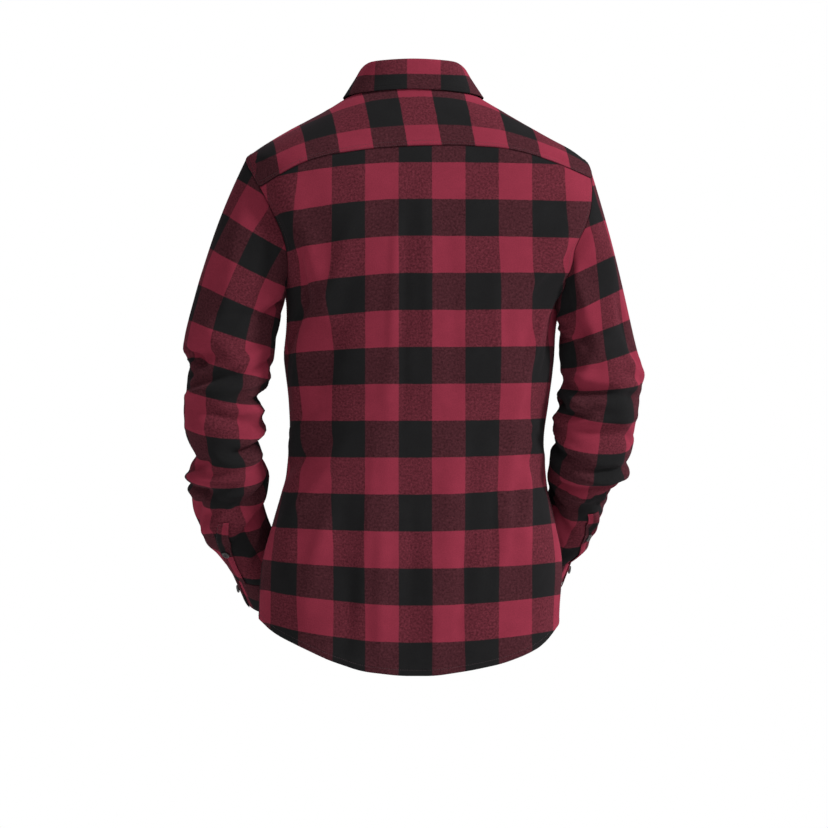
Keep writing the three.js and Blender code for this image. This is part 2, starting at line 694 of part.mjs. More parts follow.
// Top of the back, from the wearer's left armhole to the right one
const backEnds = {
  left: armSpot('left', ARMHOLES.left.yokeBack),
  right: armSpot('right', ARMHOLES.right.yokeBack),
};
const backTop = [];
for (let j = 0; j <= BACK_COLS; j += 1) {
  const turn = mix(backEnds.left.turn, backEnds.right.turn, j / BACK_COLS);
  const spot = yokeSpot(turn);
  const edge = smooth(0, 0.12, j / BACK_COLS) * smooth(0, 0.12, 1 - j / BACK_COLS);
  const ends = mix(backEnds.left.z, backEnds.right.z, j / BACK_COLS);
  if (j === 0) backTop.push(backEnds.left);
  else if (j === BACK_COLS) backTop.push(backEnds.right);
  else backTop.push(spotOn(turn, edge > 0 ? spot.z : ends));
}
const backLow = [];
for (let j = 0; j <= BACK_COLS; j += 1) backLow.push(hemSpot((Math.PI * j) / BACK_COLS));
const backGrid = patch(
  backLow,
  backTop,
  [...sideSpots('left'), ...armBack('left')],
  [...sideSpots('right'), ...armBack('right')],
  1.6,
);
const backSkin = skinOf(backGrid);

// Shoulder end of the front seam at the neck
const NECK_TURN = { left: rad(-34), right: Math.PI + rad(34) };

function neckSpot(turn, under = false) {
  return spotOn(turn, neckHeight(turn), neckMitre(turn, under));
}

// Front edge angle at a height for a given x
const frontTurn = (z, x) => turnAtX(z, x, false);

function neckTurnAtX(x) {
  let turn = -Math.PI / 2;
  for (let i = 0; i < 8; i += 1) turn = frontTurn(neckHeight(turn), x);
  return turn;
}

// Front seam of the yoke from the armhole to the neck
function frontSeam(name) {
  const outer = armSpot(name, ARMHOLES[name].yokeFront);
  const turn = NECK_TURN[name] > Math.PI ? NECK_TURN[name] - 2 * Math.PI : NECK_TURN[name];
  const inner = neckSpot(turn, false);
  const outerTurn = outer.turn > Math.PI ? outer.turn - 2 * Math.PI : outer.turn;
  const list = [];
  for (let i = 0; i <= SHOULDER_ROWS; i += 1) {
    const t = i / SHOULDER_ROWS;
    if (i === 0) list.push({ ...outer, turn: outerTurn });
    else if (i === SHOULDER_ROWS) list.push(inner);
    else list.push(spotOn(mix(outerTurn, turn, t), mix(outer.z, inner.z, t)));
  }
  return list;
}

const wrapTurn = (turn) => (turn > Math.PI / 2 ? turn - 2 * Math.PI : turn);

// One front panel, from its side seam to its edge past the centre
function frontGrid(name) {
  const dir = ARMHOLES[name].dir;
  const under = dir < 0;
  const bands = [dir * BAND_HALF, 0, -dir * BAND_HALF];
  const seam = frontSeam(name);
  const neckFrom = wrapTurn(seam[SHOULDER_ROWS].turn);
  const neckBand = bands.map((x) => neckTurnAtX(x));
  const top = [...seam];
  const plain = NECK_COLS - 2;
  for (let j = 1; j < plain; j += 1) {
    top.push(neckSpot(mix(neckFrom, neckBand[0], j / plain), under));
  }
  for (const turn of neckBand) top.push(neckSpot(turn, under));
  const count = top.length - 1;
  const side = dir > 0 ? 0 : -Math.PI;
  const hemTurns = bands.map((x) => frontTurn(-775, x));
  const low = [];
  for (let j = 0; j < count - 2; j += 1) {
    low.push(hemSpot(mix(side, hemTurns[0], j / (count - 2))));
  }
  for (const turn of hemTurns) low.push(hemSpot(turn));
  const start = [...sideSpots(name), ...armFront(name)].map((s) => {
    return { ...s, turn: dir > 0 ? s.turn : wrapTurn(s.turn) };
  });
  const rows = start.length;
  const column = (k) => start.map((s, i) => {
    if (i === rows - 1) return top[k];
    const z = mix(low[k].z, top[k].z, i / (rows - 1));
    return spotOn(frontTurn(z, bands[k - count + 2]), z);
  });
  const plainCols = count - 1;
  const grid = patch(low.slice(0, plainCols), top.slice(0, plainCols), start, column(count - 2), 1.8);
  const middle = column(count - 1);
  const edge = column(count);
  return grid.map((row, i) => [...row, middle[i], edge[i]]);
}

const frontGrids = { left: frontGrid('left'), right: frontGrid('right') };
const frontSkins = { left: skinOf(frontGrids.left), right: skinOf(frontGrids.right, true) };

// Yoke, from the wearer's left front seam round the back to the right one
const yokeOuter = [];
const leftArm = armLists.left;
for (let i = 0; i < ARM_YOKE; i += 1) {
  yokeOuter.push(armSpot('left', leftArm[leftArm.length - ARM_YOKE + i]));
}
for (let i = 0; i < ARM_YOKE; i += 1) yokeOuter.push(armSpot('left', leftArm[i]));
yokeOuter.push(...backTop);
const rightArm = armLists.right;
for (let i = ARM_YOKE - 1; i >= 0; i -= 1) yokeOuter.push(armSpot('right', rightArm[i]));
for (let i = ARM_YOKE - 1; i >= 0; i -= 1) {
  const spot = armSpot('right', rightArm[rightArm.length - ARM_YOKE + i]);
  yokeOuter.push({ ...spot, turn: spot.turn < 0 ? spot.turn + 2 * Math.PI : spot.turn });
}
const yokeTurns = [];
const yokeArm = 2 * ARM_YOKE;
for (let i = 0; i < yokeArm; i += 1) yokeTurns.push(mix(NECK_TURN.left, rad(24), i / yokeArm));
for (let i = 0; i <= BACK_COLS; i += 1) yokeTurns.push(mix(rad(24), rad(156), i / BACK_COLS));
for (let i = 1; i <= yokeArm; i += 1) yokeTurns.push(mix(rad(156), NECK_TURN.right, i / yokeArm));
const yokeInner = yokeTurns.map((turn) => neckSpot(turn));
const seamUp = (name) => {
  const list = frontSeam(name);
  if (name === 'left') return list;
  return list.map((s) => ({ ...s, turn: s.turn < 0 ? s.turn + 2 * Math.PI : s.turn }));
};
const yokeGrid = patch(yokeOuter, yokeInner, seamUp('left'), seamUp('right'), 1.5);
const yokeSkin = skinOf(yokeGrid);

// Sleeve grids
function sleeveGrid(name) {
  const turns = armLists[name];
  const points = [];
  const offsets = [];
  for (let i = 0; i <= HEAD_RINGS + ARM_RINGS; i += 1) {
    const share = i < HEAD_RINGS ? -1 + i / HEAD_RINGS : (i - HEAD_RINGS) / ARM_RINGS;
    points.push(turns.map((turn) => sleevePoint(name, share, turn)));
    offsets.push(turns.map((turn) => {
      return i === 0 ? armholeMitre(name, turn) : sleeveNormal(name, share, turn);
    }));
  }
  return { points, offsets };
}
const sleeveSkins = { left: sleeveGrid('left'), right: sleeveGrid('right') };

// Cuff band: goes round once and laps over its own start
function cuffSkin(name) {
  const turns = armLists[name];
  const cuff = CUFFS[name];
  const count = turns.length;
  const points = [];
  const offsets = [];
  for (let i = 0; i <= CUFF_ROWS; i += 1) {
    const t = i / CUFF_ROWS;
    const row = [];
    const out = [];
    for (let j = 0; j <= count + CUFF_LAP; j += 1) {
      const k = j % count;
      const ring = turns.map((turn) => sleevePoint(name, 1, turn));
      const middle = ring.reduce((sum, p) => sum.add(p), vec(0, 0, 0)).divideScalar(count);
      const arm = ring[k].clone().sub(middle);
      arm.multiplyScalar(mix(1, cuff.wide, t));
      const lift = (CLOTH + LAY_GAP) * smooth(count - 3, count - 0.2, j);
      const normal = arm.clone().normalize();
      const point = middle.clone().add(arm);
      point.add(vec(cuff.dx, cuff.dy, cuff.dz).multiplyScalar(t + CUFF_START));
      point.addScaledVector(normal, lift);
      row.push(point);
      out.push(i === 0 && j < count - 3 ? sleeveNormal(name, 1, turns[k]) : normal);
    }
    points.push(row);
    offsets.push(out);
  }
  return { points, offsets };
}
const cuffSkins = { left: cuffSkin('left'), right: cuffSkin('right') };

// Angles round the neck from the left front edge to the right one
function neckTurns() {
  const left = frontGrids.left;
  const right = frontGrids.right;
  const rowL = left[left.length - 1].slice(SHOULDER_ROWS).map((s) => s.turn);
  const rowR = right[right.length - 1].slice(SHOULDER_ROWS).map((s) => s.turn + 2 * Math.PI);
  return [...rowL.reverse(), ...yokeTurns.slice(1, -1), ...rowR];
}
const standTurns = neckTurns();

function standSkin() {
  const rows = 3;
  const points = [];
  const offsets = [];
  for (let i = 0; i <= rows; i += 1) {
    const share = i / rows;
    points.push(standTurns.map((turn) => standPoint(turn, share, turn > Math.PI)));
    offsets.push(standTurns.map((turn) => {
      if (i === 0) return neckMitre(turn, turn > Math.PI);
      return standNormal(turn, share, turn > Math.PI);
    }));
  }
  return { points, offsets };
}

// Leaf edge below an angle, mirrored to both sides
function leafEdge(turn) {
  const full = 2 * Math.PI;
  const fromFront = Math.abs((((turn + Math.PI / 2) % full) + full + Math.PI) % full - Math.PI);
  const place = placeFalling(LEAF_EDGE, 'turn', (fromFront * 180) / Math.PI);
  const lies = rad(splineRow(LEAF_EDGE, place, 'lies')) - Math.PI / 2;
  const z = splineRow(LEAF_EDGE, place, 'z');
  const at = Math.cos(turn) >= 0 ? lies : Math.PI - lies;
  return torsoPoint(at, z).addScaledVector(torsoNormal(at, z), LEAF_STANDOFF);
}

// Leaf profile: rises from the stand, rolls over and falls to its edge
function leafSkin() {
  const points = [];
  const gap = 0.8;
  const profile = [
    { out: 0, up: gap, fall: 0 },
    { out: 0.5, up: gap + 3.2, fall: 0 },
    { out: 2.4, up: gap + 5.4, fall: 0.01 },
    { out: 4.8, up: gap + 4.6, fall: 0.06 },
    { out: 4.6, up: gap + 2.5, fall: 0.3 },
    { out: 2.6, up: gap + 1, fall: 0.65 },
    { out: 0, up: 0, fall: 1 },
  ];
  const from = standTurns.findIndex((turn) => turn > rad(-89));
  const turns = standTurns.slice(from).filter((turn) => turn < rad(269));
  const ends = [rad(-88.6), ...turns, rad(268.6)];
  for (const row of profile) {
    points.push(ends.map((turn) => {
      const top = standPoint(turn, 1);
      const edge = leafEdge(turn);
      const spot = top.clone().lerp(edge, row.fall);
      spot.x += Math.cos(turn) * row.out;
      spot.y += Math.sin(turn) * row.out;
      spot.z += row.up * (1 - row.fall);
      return spot;
    }));
  }
  return { points, offsets: gridNormals(points) };
}

// Normals of a grid from its own neighbours
function gridNormals(points, flip = 1) {
  const rows = points.length;
  const cols = points[0].length;
  return points.map((row, i) => row.map((p, j) => {
    const a = points[i][Math.min(j + 1, cols - 1)].clone().sub(points[i][Math.max(j - 1, 0)]);
    const b = points[Math.min(i + 1, rows - 1)][j].clone().sub(points[Math.max(i - 1, 0)][j]);
    return normalFrom(a, b).multiplyScalar(flip);
  }));
}

// Front band: the last columns of the left front moved out
function bandSkin() {
  const skin = frontSkins.left;
  const lift = CLOTH + LAY_GAP;
  const take = (row) => row.slice(row.length - 3);
  const points = skin.points.map((row, i) => take(row).map((p, j) => {
    return p.clone().addScaledVector(take(skin.offsets[i])[j], lift);
  }));
  return { points, offsets: skin.offsets.map(take) };
}

// Sleeve placket: a strip of the sleeve moved out
function sleeveBandSkin(name) {
  const band = SLEEVE_BANDS[name];
  const points = [];
  const offsets = [];
  const rows = ARM_RINGS - Math.round(band.from * ARM_RINGS);
  for (let i = 0; i <= rows; i += 1) {
    const share = Math.min(1 - (rows - i) / ARM_RINGS, 0.993);
    const centre = mix(band.top, band.low, i / rows);
    const half = (band.half / mix(50, 38, i / rows)) * (180 / Math.PI);
    const row = [];
    const out = [];
    for (const side of [-1, 0, 1]) {
      const turn = centre + side * half;
      const normal = sleeveNormal(name, share, turn);
      row.push(sleevePoint(name, share, turn).addScaledVector(normal, CLOTH + LAY_GAP + 0.45));
      out.push(normal);
    }
    points.push(row);
    offsets.push(out);
  }
  return { points, offsets };
}

const group = new THREE.Group();
group.name = 'flannel_shirt';

function add(name, geometry, colour, roughness, metalness = 0) {
  const material = new THREE.MeshStandardMaterial({ color: colour, roughness, metalness });
  material.name = name;
  const mesh = new THREE.Mesh(geometry, material);
  mesh.name = name;
  group.add(mesh);
  return mesh;
}

function addCloth(name, skin, edges, thick = CLOTH, wrap = false) {
  add(name, shell(pullEdges(skin.points, edges), skin.offsets, thick, wrap), RED, 0.9);
}

addCloth('back', backSkin, ['last', 'start', 'end']);
addCloth('yoke', yokeSkin, ['first', 'last', 'start', 'end']);
addCloth('front_left', frontSkins.left, ['last', 'start']);
addCloth('front_right', frontSkins.right, ['last', 'start']);
addCloth('front_placket', bandSkin(), ['last']);
addCloth('sleeve_left', sleeveSkins.left, ['first', 'last'], CLOTH, true);
addCloth('sleeve_right', sleeveSkins.right, ['first', 'last'], CLOTH, true);
addCloth('cuff_left', cuffSkins.left, ['first']);
addCloth('cuff_right', cuffSkins.right, ['first']);
addCloth('collar_stand', standSkin(), ['first']);
addCloth('collar_leaf', leafSkin(), [], COLLAR_CLOTH);
addCloth('sleeve_placket_left', sleeveBandSkin('left'), ['last']);
addCloth('sleeve_placket_right', sleeveBandSkin('right'), ['last']);

// Button with a rounded rim, its face along +Y before it is turned
function buttonAt(name, centre, normal) {
  const r = BUTTON_RADIUS;
  const h = BUTTON_THICK;
  const profile = [
    new THREE.Vector2(0, 0),
    new THREE.Vector2(r * 0.86, 0),
    new THREE.Vector2(r, h * 0.4),
    new THREE.Vector2(r * 0.86, h),
    new THREE.Vector2(r * 0.7, h * 0.72),
    new THREE.Vector2(0, h * 0.72),
  ];
  const geometry = new THREE.LatheGeometry(profile, BUTTON_FACETS);
  const turn = new THREE.Quaternion().setFromUnitVectors(vec(0, 1, 0), normal.clone().normalize());
  geometry.applyQuaternion(turn);
  geometry.translate(centre.x, centre.y, centre.z);
  add(name, geometry, DARK, 0.45);
}

const bandTop = CLOTH / 2 + LAY_GAP + CLOTH + LAY_GAP + 0.3;
FRONT_BUTTON_HEIGHTS.forEach((z, i) => {
  const turn = frontTurn(z, 0);
  const normal = torsoNormal(turn, z);
  const centre = torsoPoint(turn, z).addScaledVector(normal, bandTop);
  buttonAt(`button_front_${i + 1}`, centre, normal);
});

const collarTurn = neckTurnAtX(0);
const collarNormal = standNormal(collarTurn, 0.5);
buttonAt(
  'button_collar',
  standPoint(collarTurn, 0.42).addScaledVector(collarNormal, CLOTH / 2 + LAY_GAP),
  collarNormal,
);

for (const name of ['left', 'right']) {
  const band = SLEEVE_BANDS[name];
  const share = mix(band.from, 1, SLEEVE_BUTTON_AT);
  const turn = mix(band.top, band.low, SLEEVE_BUTTON_AT);
  const normal = sleeveNormal(name, share, turn);
  const lift = CLOTH / 2 + LAY_GAP + 0.45 + CLOTH + LAY_GAP + 0.1;
  const centre = sleevePoint(name, share, turn).addScaledVector(normal, lift);
  buttonAt(`button_sleeve_${name}`, centre, normal);
  const cuff = cuffSkins[name];
  const lap = cuff.points[0].length - 2;
  const a = cuff.points[1][lap].clone().lerp(cuff.points[2][lap], 0.5);
  const out = cuff.offsets[1][lap].clone();
  const cuffCentre = a.addScaledVector(out, CLOTH / 2 + LAY_GAP + 0.95);
  buttonAt(`button_cuff_${name}`, cuffCentre, out);
}

export default group;
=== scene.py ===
import math

import bpy
import numpy as np
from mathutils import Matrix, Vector


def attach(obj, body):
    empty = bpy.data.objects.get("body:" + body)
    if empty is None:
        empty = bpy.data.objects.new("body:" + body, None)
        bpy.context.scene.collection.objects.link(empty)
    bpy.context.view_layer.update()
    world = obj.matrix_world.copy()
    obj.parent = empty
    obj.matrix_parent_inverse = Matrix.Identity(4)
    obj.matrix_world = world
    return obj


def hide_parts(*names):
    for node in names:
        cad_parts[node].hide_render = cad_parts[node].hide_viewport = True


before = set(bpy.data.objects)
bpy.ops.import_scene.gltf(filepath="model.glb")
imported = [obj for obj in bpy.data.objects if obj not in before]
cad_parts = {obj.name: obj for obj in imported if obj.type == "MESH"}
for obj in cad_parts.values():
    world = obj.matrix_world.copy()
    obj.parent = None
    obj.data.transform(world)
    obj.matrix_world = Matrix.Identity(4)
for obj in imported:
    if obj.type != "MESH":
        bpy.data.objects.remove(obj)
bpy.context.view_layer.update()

# Cloth, seams and grid, in millimetres unless a name says otherwise
CLOTH = 1.5
COLLAR_CLOTH = 1.7
LAY_GAP = 0.45
FRONT_LAP = 2.6
BAND_HALF = 17.5
ARC_RADIUS = 170.0
SLEEVE_RADIUS = 55.0
HEAD_LENGTH = 150.0
BACK_POWER = 2.35
FRONT_POWER = 2.15
DETAIL = 5

SIDE_ROWS = 15 * DETAIL
ARM_SIDE = 9 * DETAIL
ARM_YOKE = 3 * DETAIL
BACK_COLS = 22 * DETAIL
SHOULDER_ROWS = 5 * DETAIL
NECK_COLS = 6 * DETAIL
HEAD_RINGS = 8 * DETAIL
ARM_RINGS = 22 * DETAIL

# Columns: height, left and right half width, back and front depth
TORSO = [
    (30, 54, 54, 48, 34),
    (14, 66, 66, 56, 44),
    (6, 76, 76, 60, 50),
    (0, 87, 88, 65, 54),
    (-9, 102, 103, 73, 58),
    (-18, 117, 119, 81, 62),
    (-32, 142, 142, 91, 68),
    (-45, 167, 165, 99, 74),
    (-59, 191, 190, 107, 80),
    (-73, 213, 216, 114, 87),
    (-87, 230, 235, 120, 94),
    (-105, 231, 250, 125, 102),
    (-130, 227, 262, 131, 111),
    (-160, 217, 268, 137, 119),
    (-200, 200, 262, 140, 127),
    (-240, 185, 238, 140, 131),
    (-275, 175, 210, 137, 132),
    (-300, 173, 199, 134, 131),
    (-325, 174, 195, 131, 129),
    (-345, 176, 194, 128, 128),
    (-370, 175, 192, 125, 126),
    (-417, 170, 186, 119, 124),
    (-472, 169, 179, 114, 122),
    (-527, 176, 183, 116, 123),
    (-582, 191, 194, 124, 126),
    (-637, 206, 204, 131, 129),
    (-700, 211, 201, 135, 131),
    (-800, 210, 196, 138, 133),
]
HEM_BACK = [
    (214, -712),
    (206, -722),
    (190, -735),
    (161, -749),
    (113, -771),
    (70, -785),
    (18, -791),
    (-30, -791),
    (-78, -784),
    (-122, -775),
    (-158, -762),
    (-182, -748),
    (-195, -730),
    (-204, -716),
]
HEM_FRONT = [
    (214, -712),
    (202, -722),
    (165, -742),
    (113, -763),
    (60, -775),
    (0, -778),
    (-60, -775),
    (-113, -764),
    (-160, -746),
    (-192, -728),
    (-204, -716),
]
YOKE_SEAM = [
    (230, -134),
    (209, -127),
    (180, -109),
    (151, -94),
    (115, -84),
    (60, -76),
    (0, -72),
    (-60, -71),
    (-120, -74),
    (-160, -82),
    (-198, -95),
    (-241, -113),
    (-260, -120),
]
LEAF_EDGE = [
    (180, 180, 7),
    (150, 150, 5),
    (120, 120, 1),
    (90, 91, -4),
    (75, 77, -7),
    (60, 63, -19),
    (40, 47.5, -44),
    (20, 36, -67),
    (8, 28.5, -86),
    (0, 23.5, -101),
]
TORSO_FOLDS = [
    (108, -205, -14, 95, 17, 9),
    (82, -345, 24, 85, 15, 6),
    (105, -400, 30, 80, 14, -5),
    (55, -468, 74, 46, 10, 4),
    (48, -505, 68, 52, 11, -4),
    (70, -610, -12, 95, 20, 5),
    (150, -640, -5, 110, 22, -4),
    (215, -500, 3, 150, 16, 3),
    (330, -600, 5, 130, 22, 5),
    (372, -560, 8, 120, 15, -4),
    (405, -330, -12, 110, 15, 6),
    (432, -400, -6, 120, 13, 5),
    (420, -370, -10, 90, 10, -4),
    (452, -215, 18, 80, 15, 5),
    (478, -480, -68, 48, 11, 4),
    (490, -520, -60, 50, 12, -3),
    (-62, -330, -24, 95, 16, 5),
    (-95, -450, -10, 110, 18, -4),
    (-70, -590, 10, 100, 20, 5),
    (-150, -640, 4, 110, 22, 4),
    (-190, -300, -20, 110, 18, 4),
    (-330, -290, 20, 110, 18, 4),
    (-385, -620, -6, 110, 20, 4),
    (-440, -440, 10, 110, 17, -4),
    (-468, -340, 22, 90, 15, 4),
]
SLEEVES = {
    "left": [
        (-300, 306, 183, 12, 62, 0),
        (-325, 312, 188, 15, 61, 0),
        (-348, 315, 190, 17, 60, 0),
        (-359, 305, 191, 18, 59, 1),
        (-378, 308, 195, 20, 59, 2),
        (-404, 311, 208, 22, 58, 4),
        (-431, 314, 210, 23, 57, 8),
        (-453, 311, 207, 21, 56, 12),
        (-475, 305, 211, 17, 54, 16),
        (-497, 295, 209, 11, 53, 20),
        (-515, 305, 200, 3, 55, 25),
        (-532, 308, 202, -6, 53, 28),
        (-547, 304, 209, -16, 50, 31),
        (-566, 302, 206, -30, 50, 34),
        (-587, 294, 200, -47, 47, 37),
        (-608, 281, 192, -65, 44, 39),
        (-628, 266, 184, -83, 41, 41),
        (-648, 251, 176, -102, 37, 43),
    ],
    "right": [
        (-332, 303, 204, 12, 60, 0),
        (-352, 308, 201, 16, 60, 0),
        (-368, 313, 203, 20, 59, 2),
        (-389, 315, 205, 24, 58, 4),
        (-415, 311, 202, 25, 57, 8),
        (-440, 306, 198, 22, 55, 12),
        (-465, 302, 195, 15, 54, 17),
        (-488, 298, 190, 5, 53, 22),
        (-508, 291, 188, -7, 53, 26),
        (-525, 282, 188, -19, 51, 30),
        (-539, 269, 188, -36, 47, 32),
        (-556, 267, 184, -53, 47, 34),
        (-575, 258, 177, -72, 44, 37),
        (-594, 250, 171, -91, 41, 39),
        (-610, 243, 166, -106, 40, 41),
        (-625, 223, 159, -121, 37, 43),
    ],
}
SLEEVE_FOLDS = {
    "left": [
        (60, -90, 30, 75, 14, 5),
        (120, -20, 20, 80, 13, 5),
        (95, 60, -40, 60, 12, 4),
        (150, 95, 70, 45, 10, -5),
        (40, 60, 72, 40, 9, -5),
        (100, 140, 60, 55, 12, 4),
        (70, 205, 84, 95, 12, 7),
        (75, 232, 86, 80, 9, -6),
        (110, 285, 60, 50, 12, 4),
        (250, 150, -70, 60, 12, 5),
        (270, 190, -80, 70, 11, -5),
        (300, 60, 20, 90, 15, 4),
        (250, 290, 40, 50, 12, 4),
    ],
    "right": [
        (70, -110, 24, 75, 14, 5),
        (125, -50, 30, 60, 13, 6),
        (130, 20, -30, 55, 11, -5),
        (70, 60, 20, 80, 14, 4),
        (120, 130, 60, 50, 11, 4),
        (60, 185, 82, 80, 11, 6),
        (62, 212, 84, 80, 9, -6),
        (90, 262, 50, 50, 12, 4),
        (255, 120, -70, 60, 12, 5),
        (275, 160, -80, 70, 11, -5),
        (300, 40, 20, 90, 15, 4),
        (250, 250, 40, 50, 12, 4),
    ],
}


ARMHOLES = {
    "left": dict(dir=1, top=-84, low=-271, back=80, front=72, yoke_back=56, yoke_front=328),
    "right": dict(dir=-1, top=-92, low=-297, back=80, front=72, yoke_back=36, yoke_front=328),
}
CUFFS = {"left": (-15, -46, -42), "right": (13, -46, -42)}
CUFF_NARROW = 0.95
STAND_HEIGHT = 31.0
STAND_LEAN = 14.0
LEAF_STANDOFF = 3.4
SLEEVE_BANDS = {"left": (84, 50, 0.68, 8.5), "right": (62, 34, 0.68, 8.5)}
SLEEVE_BUTTON_AT = 0.47
FRONT_BUTTON_HEIGHTS = (-112, -206, -300, -394, -488, -582, -676)

# Finer folds of the torso, the same columns as TORSO_FOLDS
TORSO_CREASES = [
    (68, -310, 37, 70, 9, -3.5),
    (128, -290, 34, 70, 12, 2.6),
    (96, -250, 8, 60, 8, -2.5),
    (84, -165, -16, 50, 8, 2.2),
    (150, -240, 20, 90, 14, 1.6),
    (236, -260, 4, 120, 9, 1.4),
    (252, -300, 2, 140, 10, -1.2),
    (290, -240, -3, 120, 12, 1.5),
    (335, -300, -5, 120, 14, -1.2),
    (476, -275, 14, 85, 11, 3.2),
    (497, -290, 12, 80, 11, -3.5),
    (455, -340, 10, 90, 8, 2.0),
    (462, -230, 26, 60, 8, -2.2),
    (488, -318, 18, 60, 7, 2.2),
    (474, -262, 22, 52, 6, -2.0),
    (80, -286, 44, 58, 8, 2.2),
    (508, -215, 10, 60, 9, 2.5),
    (420, -560, 10, 90, 9, 2.8),
    (402, -590, 12, 90, 8, -2.0),
    (450, -570, 16, 70, 9, 2.2),
    (470, -455, -72, 40, 7, 2.0),
    (60, -452, 78, 45, 7, 2.2),
    (75, -490, 70, 55, 8, -2.0),
    (95, -540, 40, 70, 10, 1.8),
    (120, -620, 8, 100, 12, 2.0),
    (190, -560, 3, 120, 12, 1.4),
    (215, -680, 0, 90, 14, 2.4),
    (262, -650, 2, 100, 14, -1.8),
    (300, -700, -3, 80, 13, 2.0),
    (350, -690, 5, 80, 12, -1.8),
    (160, -720, 4, 60, 14, -2.0),
    (-60, -300, -30, 80, 10, 3.0),
    (-84, -330, -28, 80, 9, -2.4),
    (-120, -260, -16, 90, 12, 2.2),
    (-170, -210, -6, 90, 12, -1.6),
    (-215, -420, 4, 140, 12, 1.8),
    (-235, -500, 2, 120, 10, -1.8),
    (-305, -420, -4, 140, 12, 1.8),
    (-330, -520, -6, 120, 10, -1.6),
    (-420, -300, 26, 80, 10, 2.8),
    (-450, -330, 28, 80, 9, -2.4),
    (-400, -240, 14, 90, 12, 2.0),
    (-90, -500, -60, 60, 9, 2.0),
    (-60, -470, -74, 45, 8, -2.0),
    (-445, -500, 62, 60, 9, 2.0),
    (-475, -470, 74, 45, 8, -2.0),
    (-140, -560, -4, 120, 14, 1.8),
    (-390, -560, 4, 120, 14, 1.8),
]

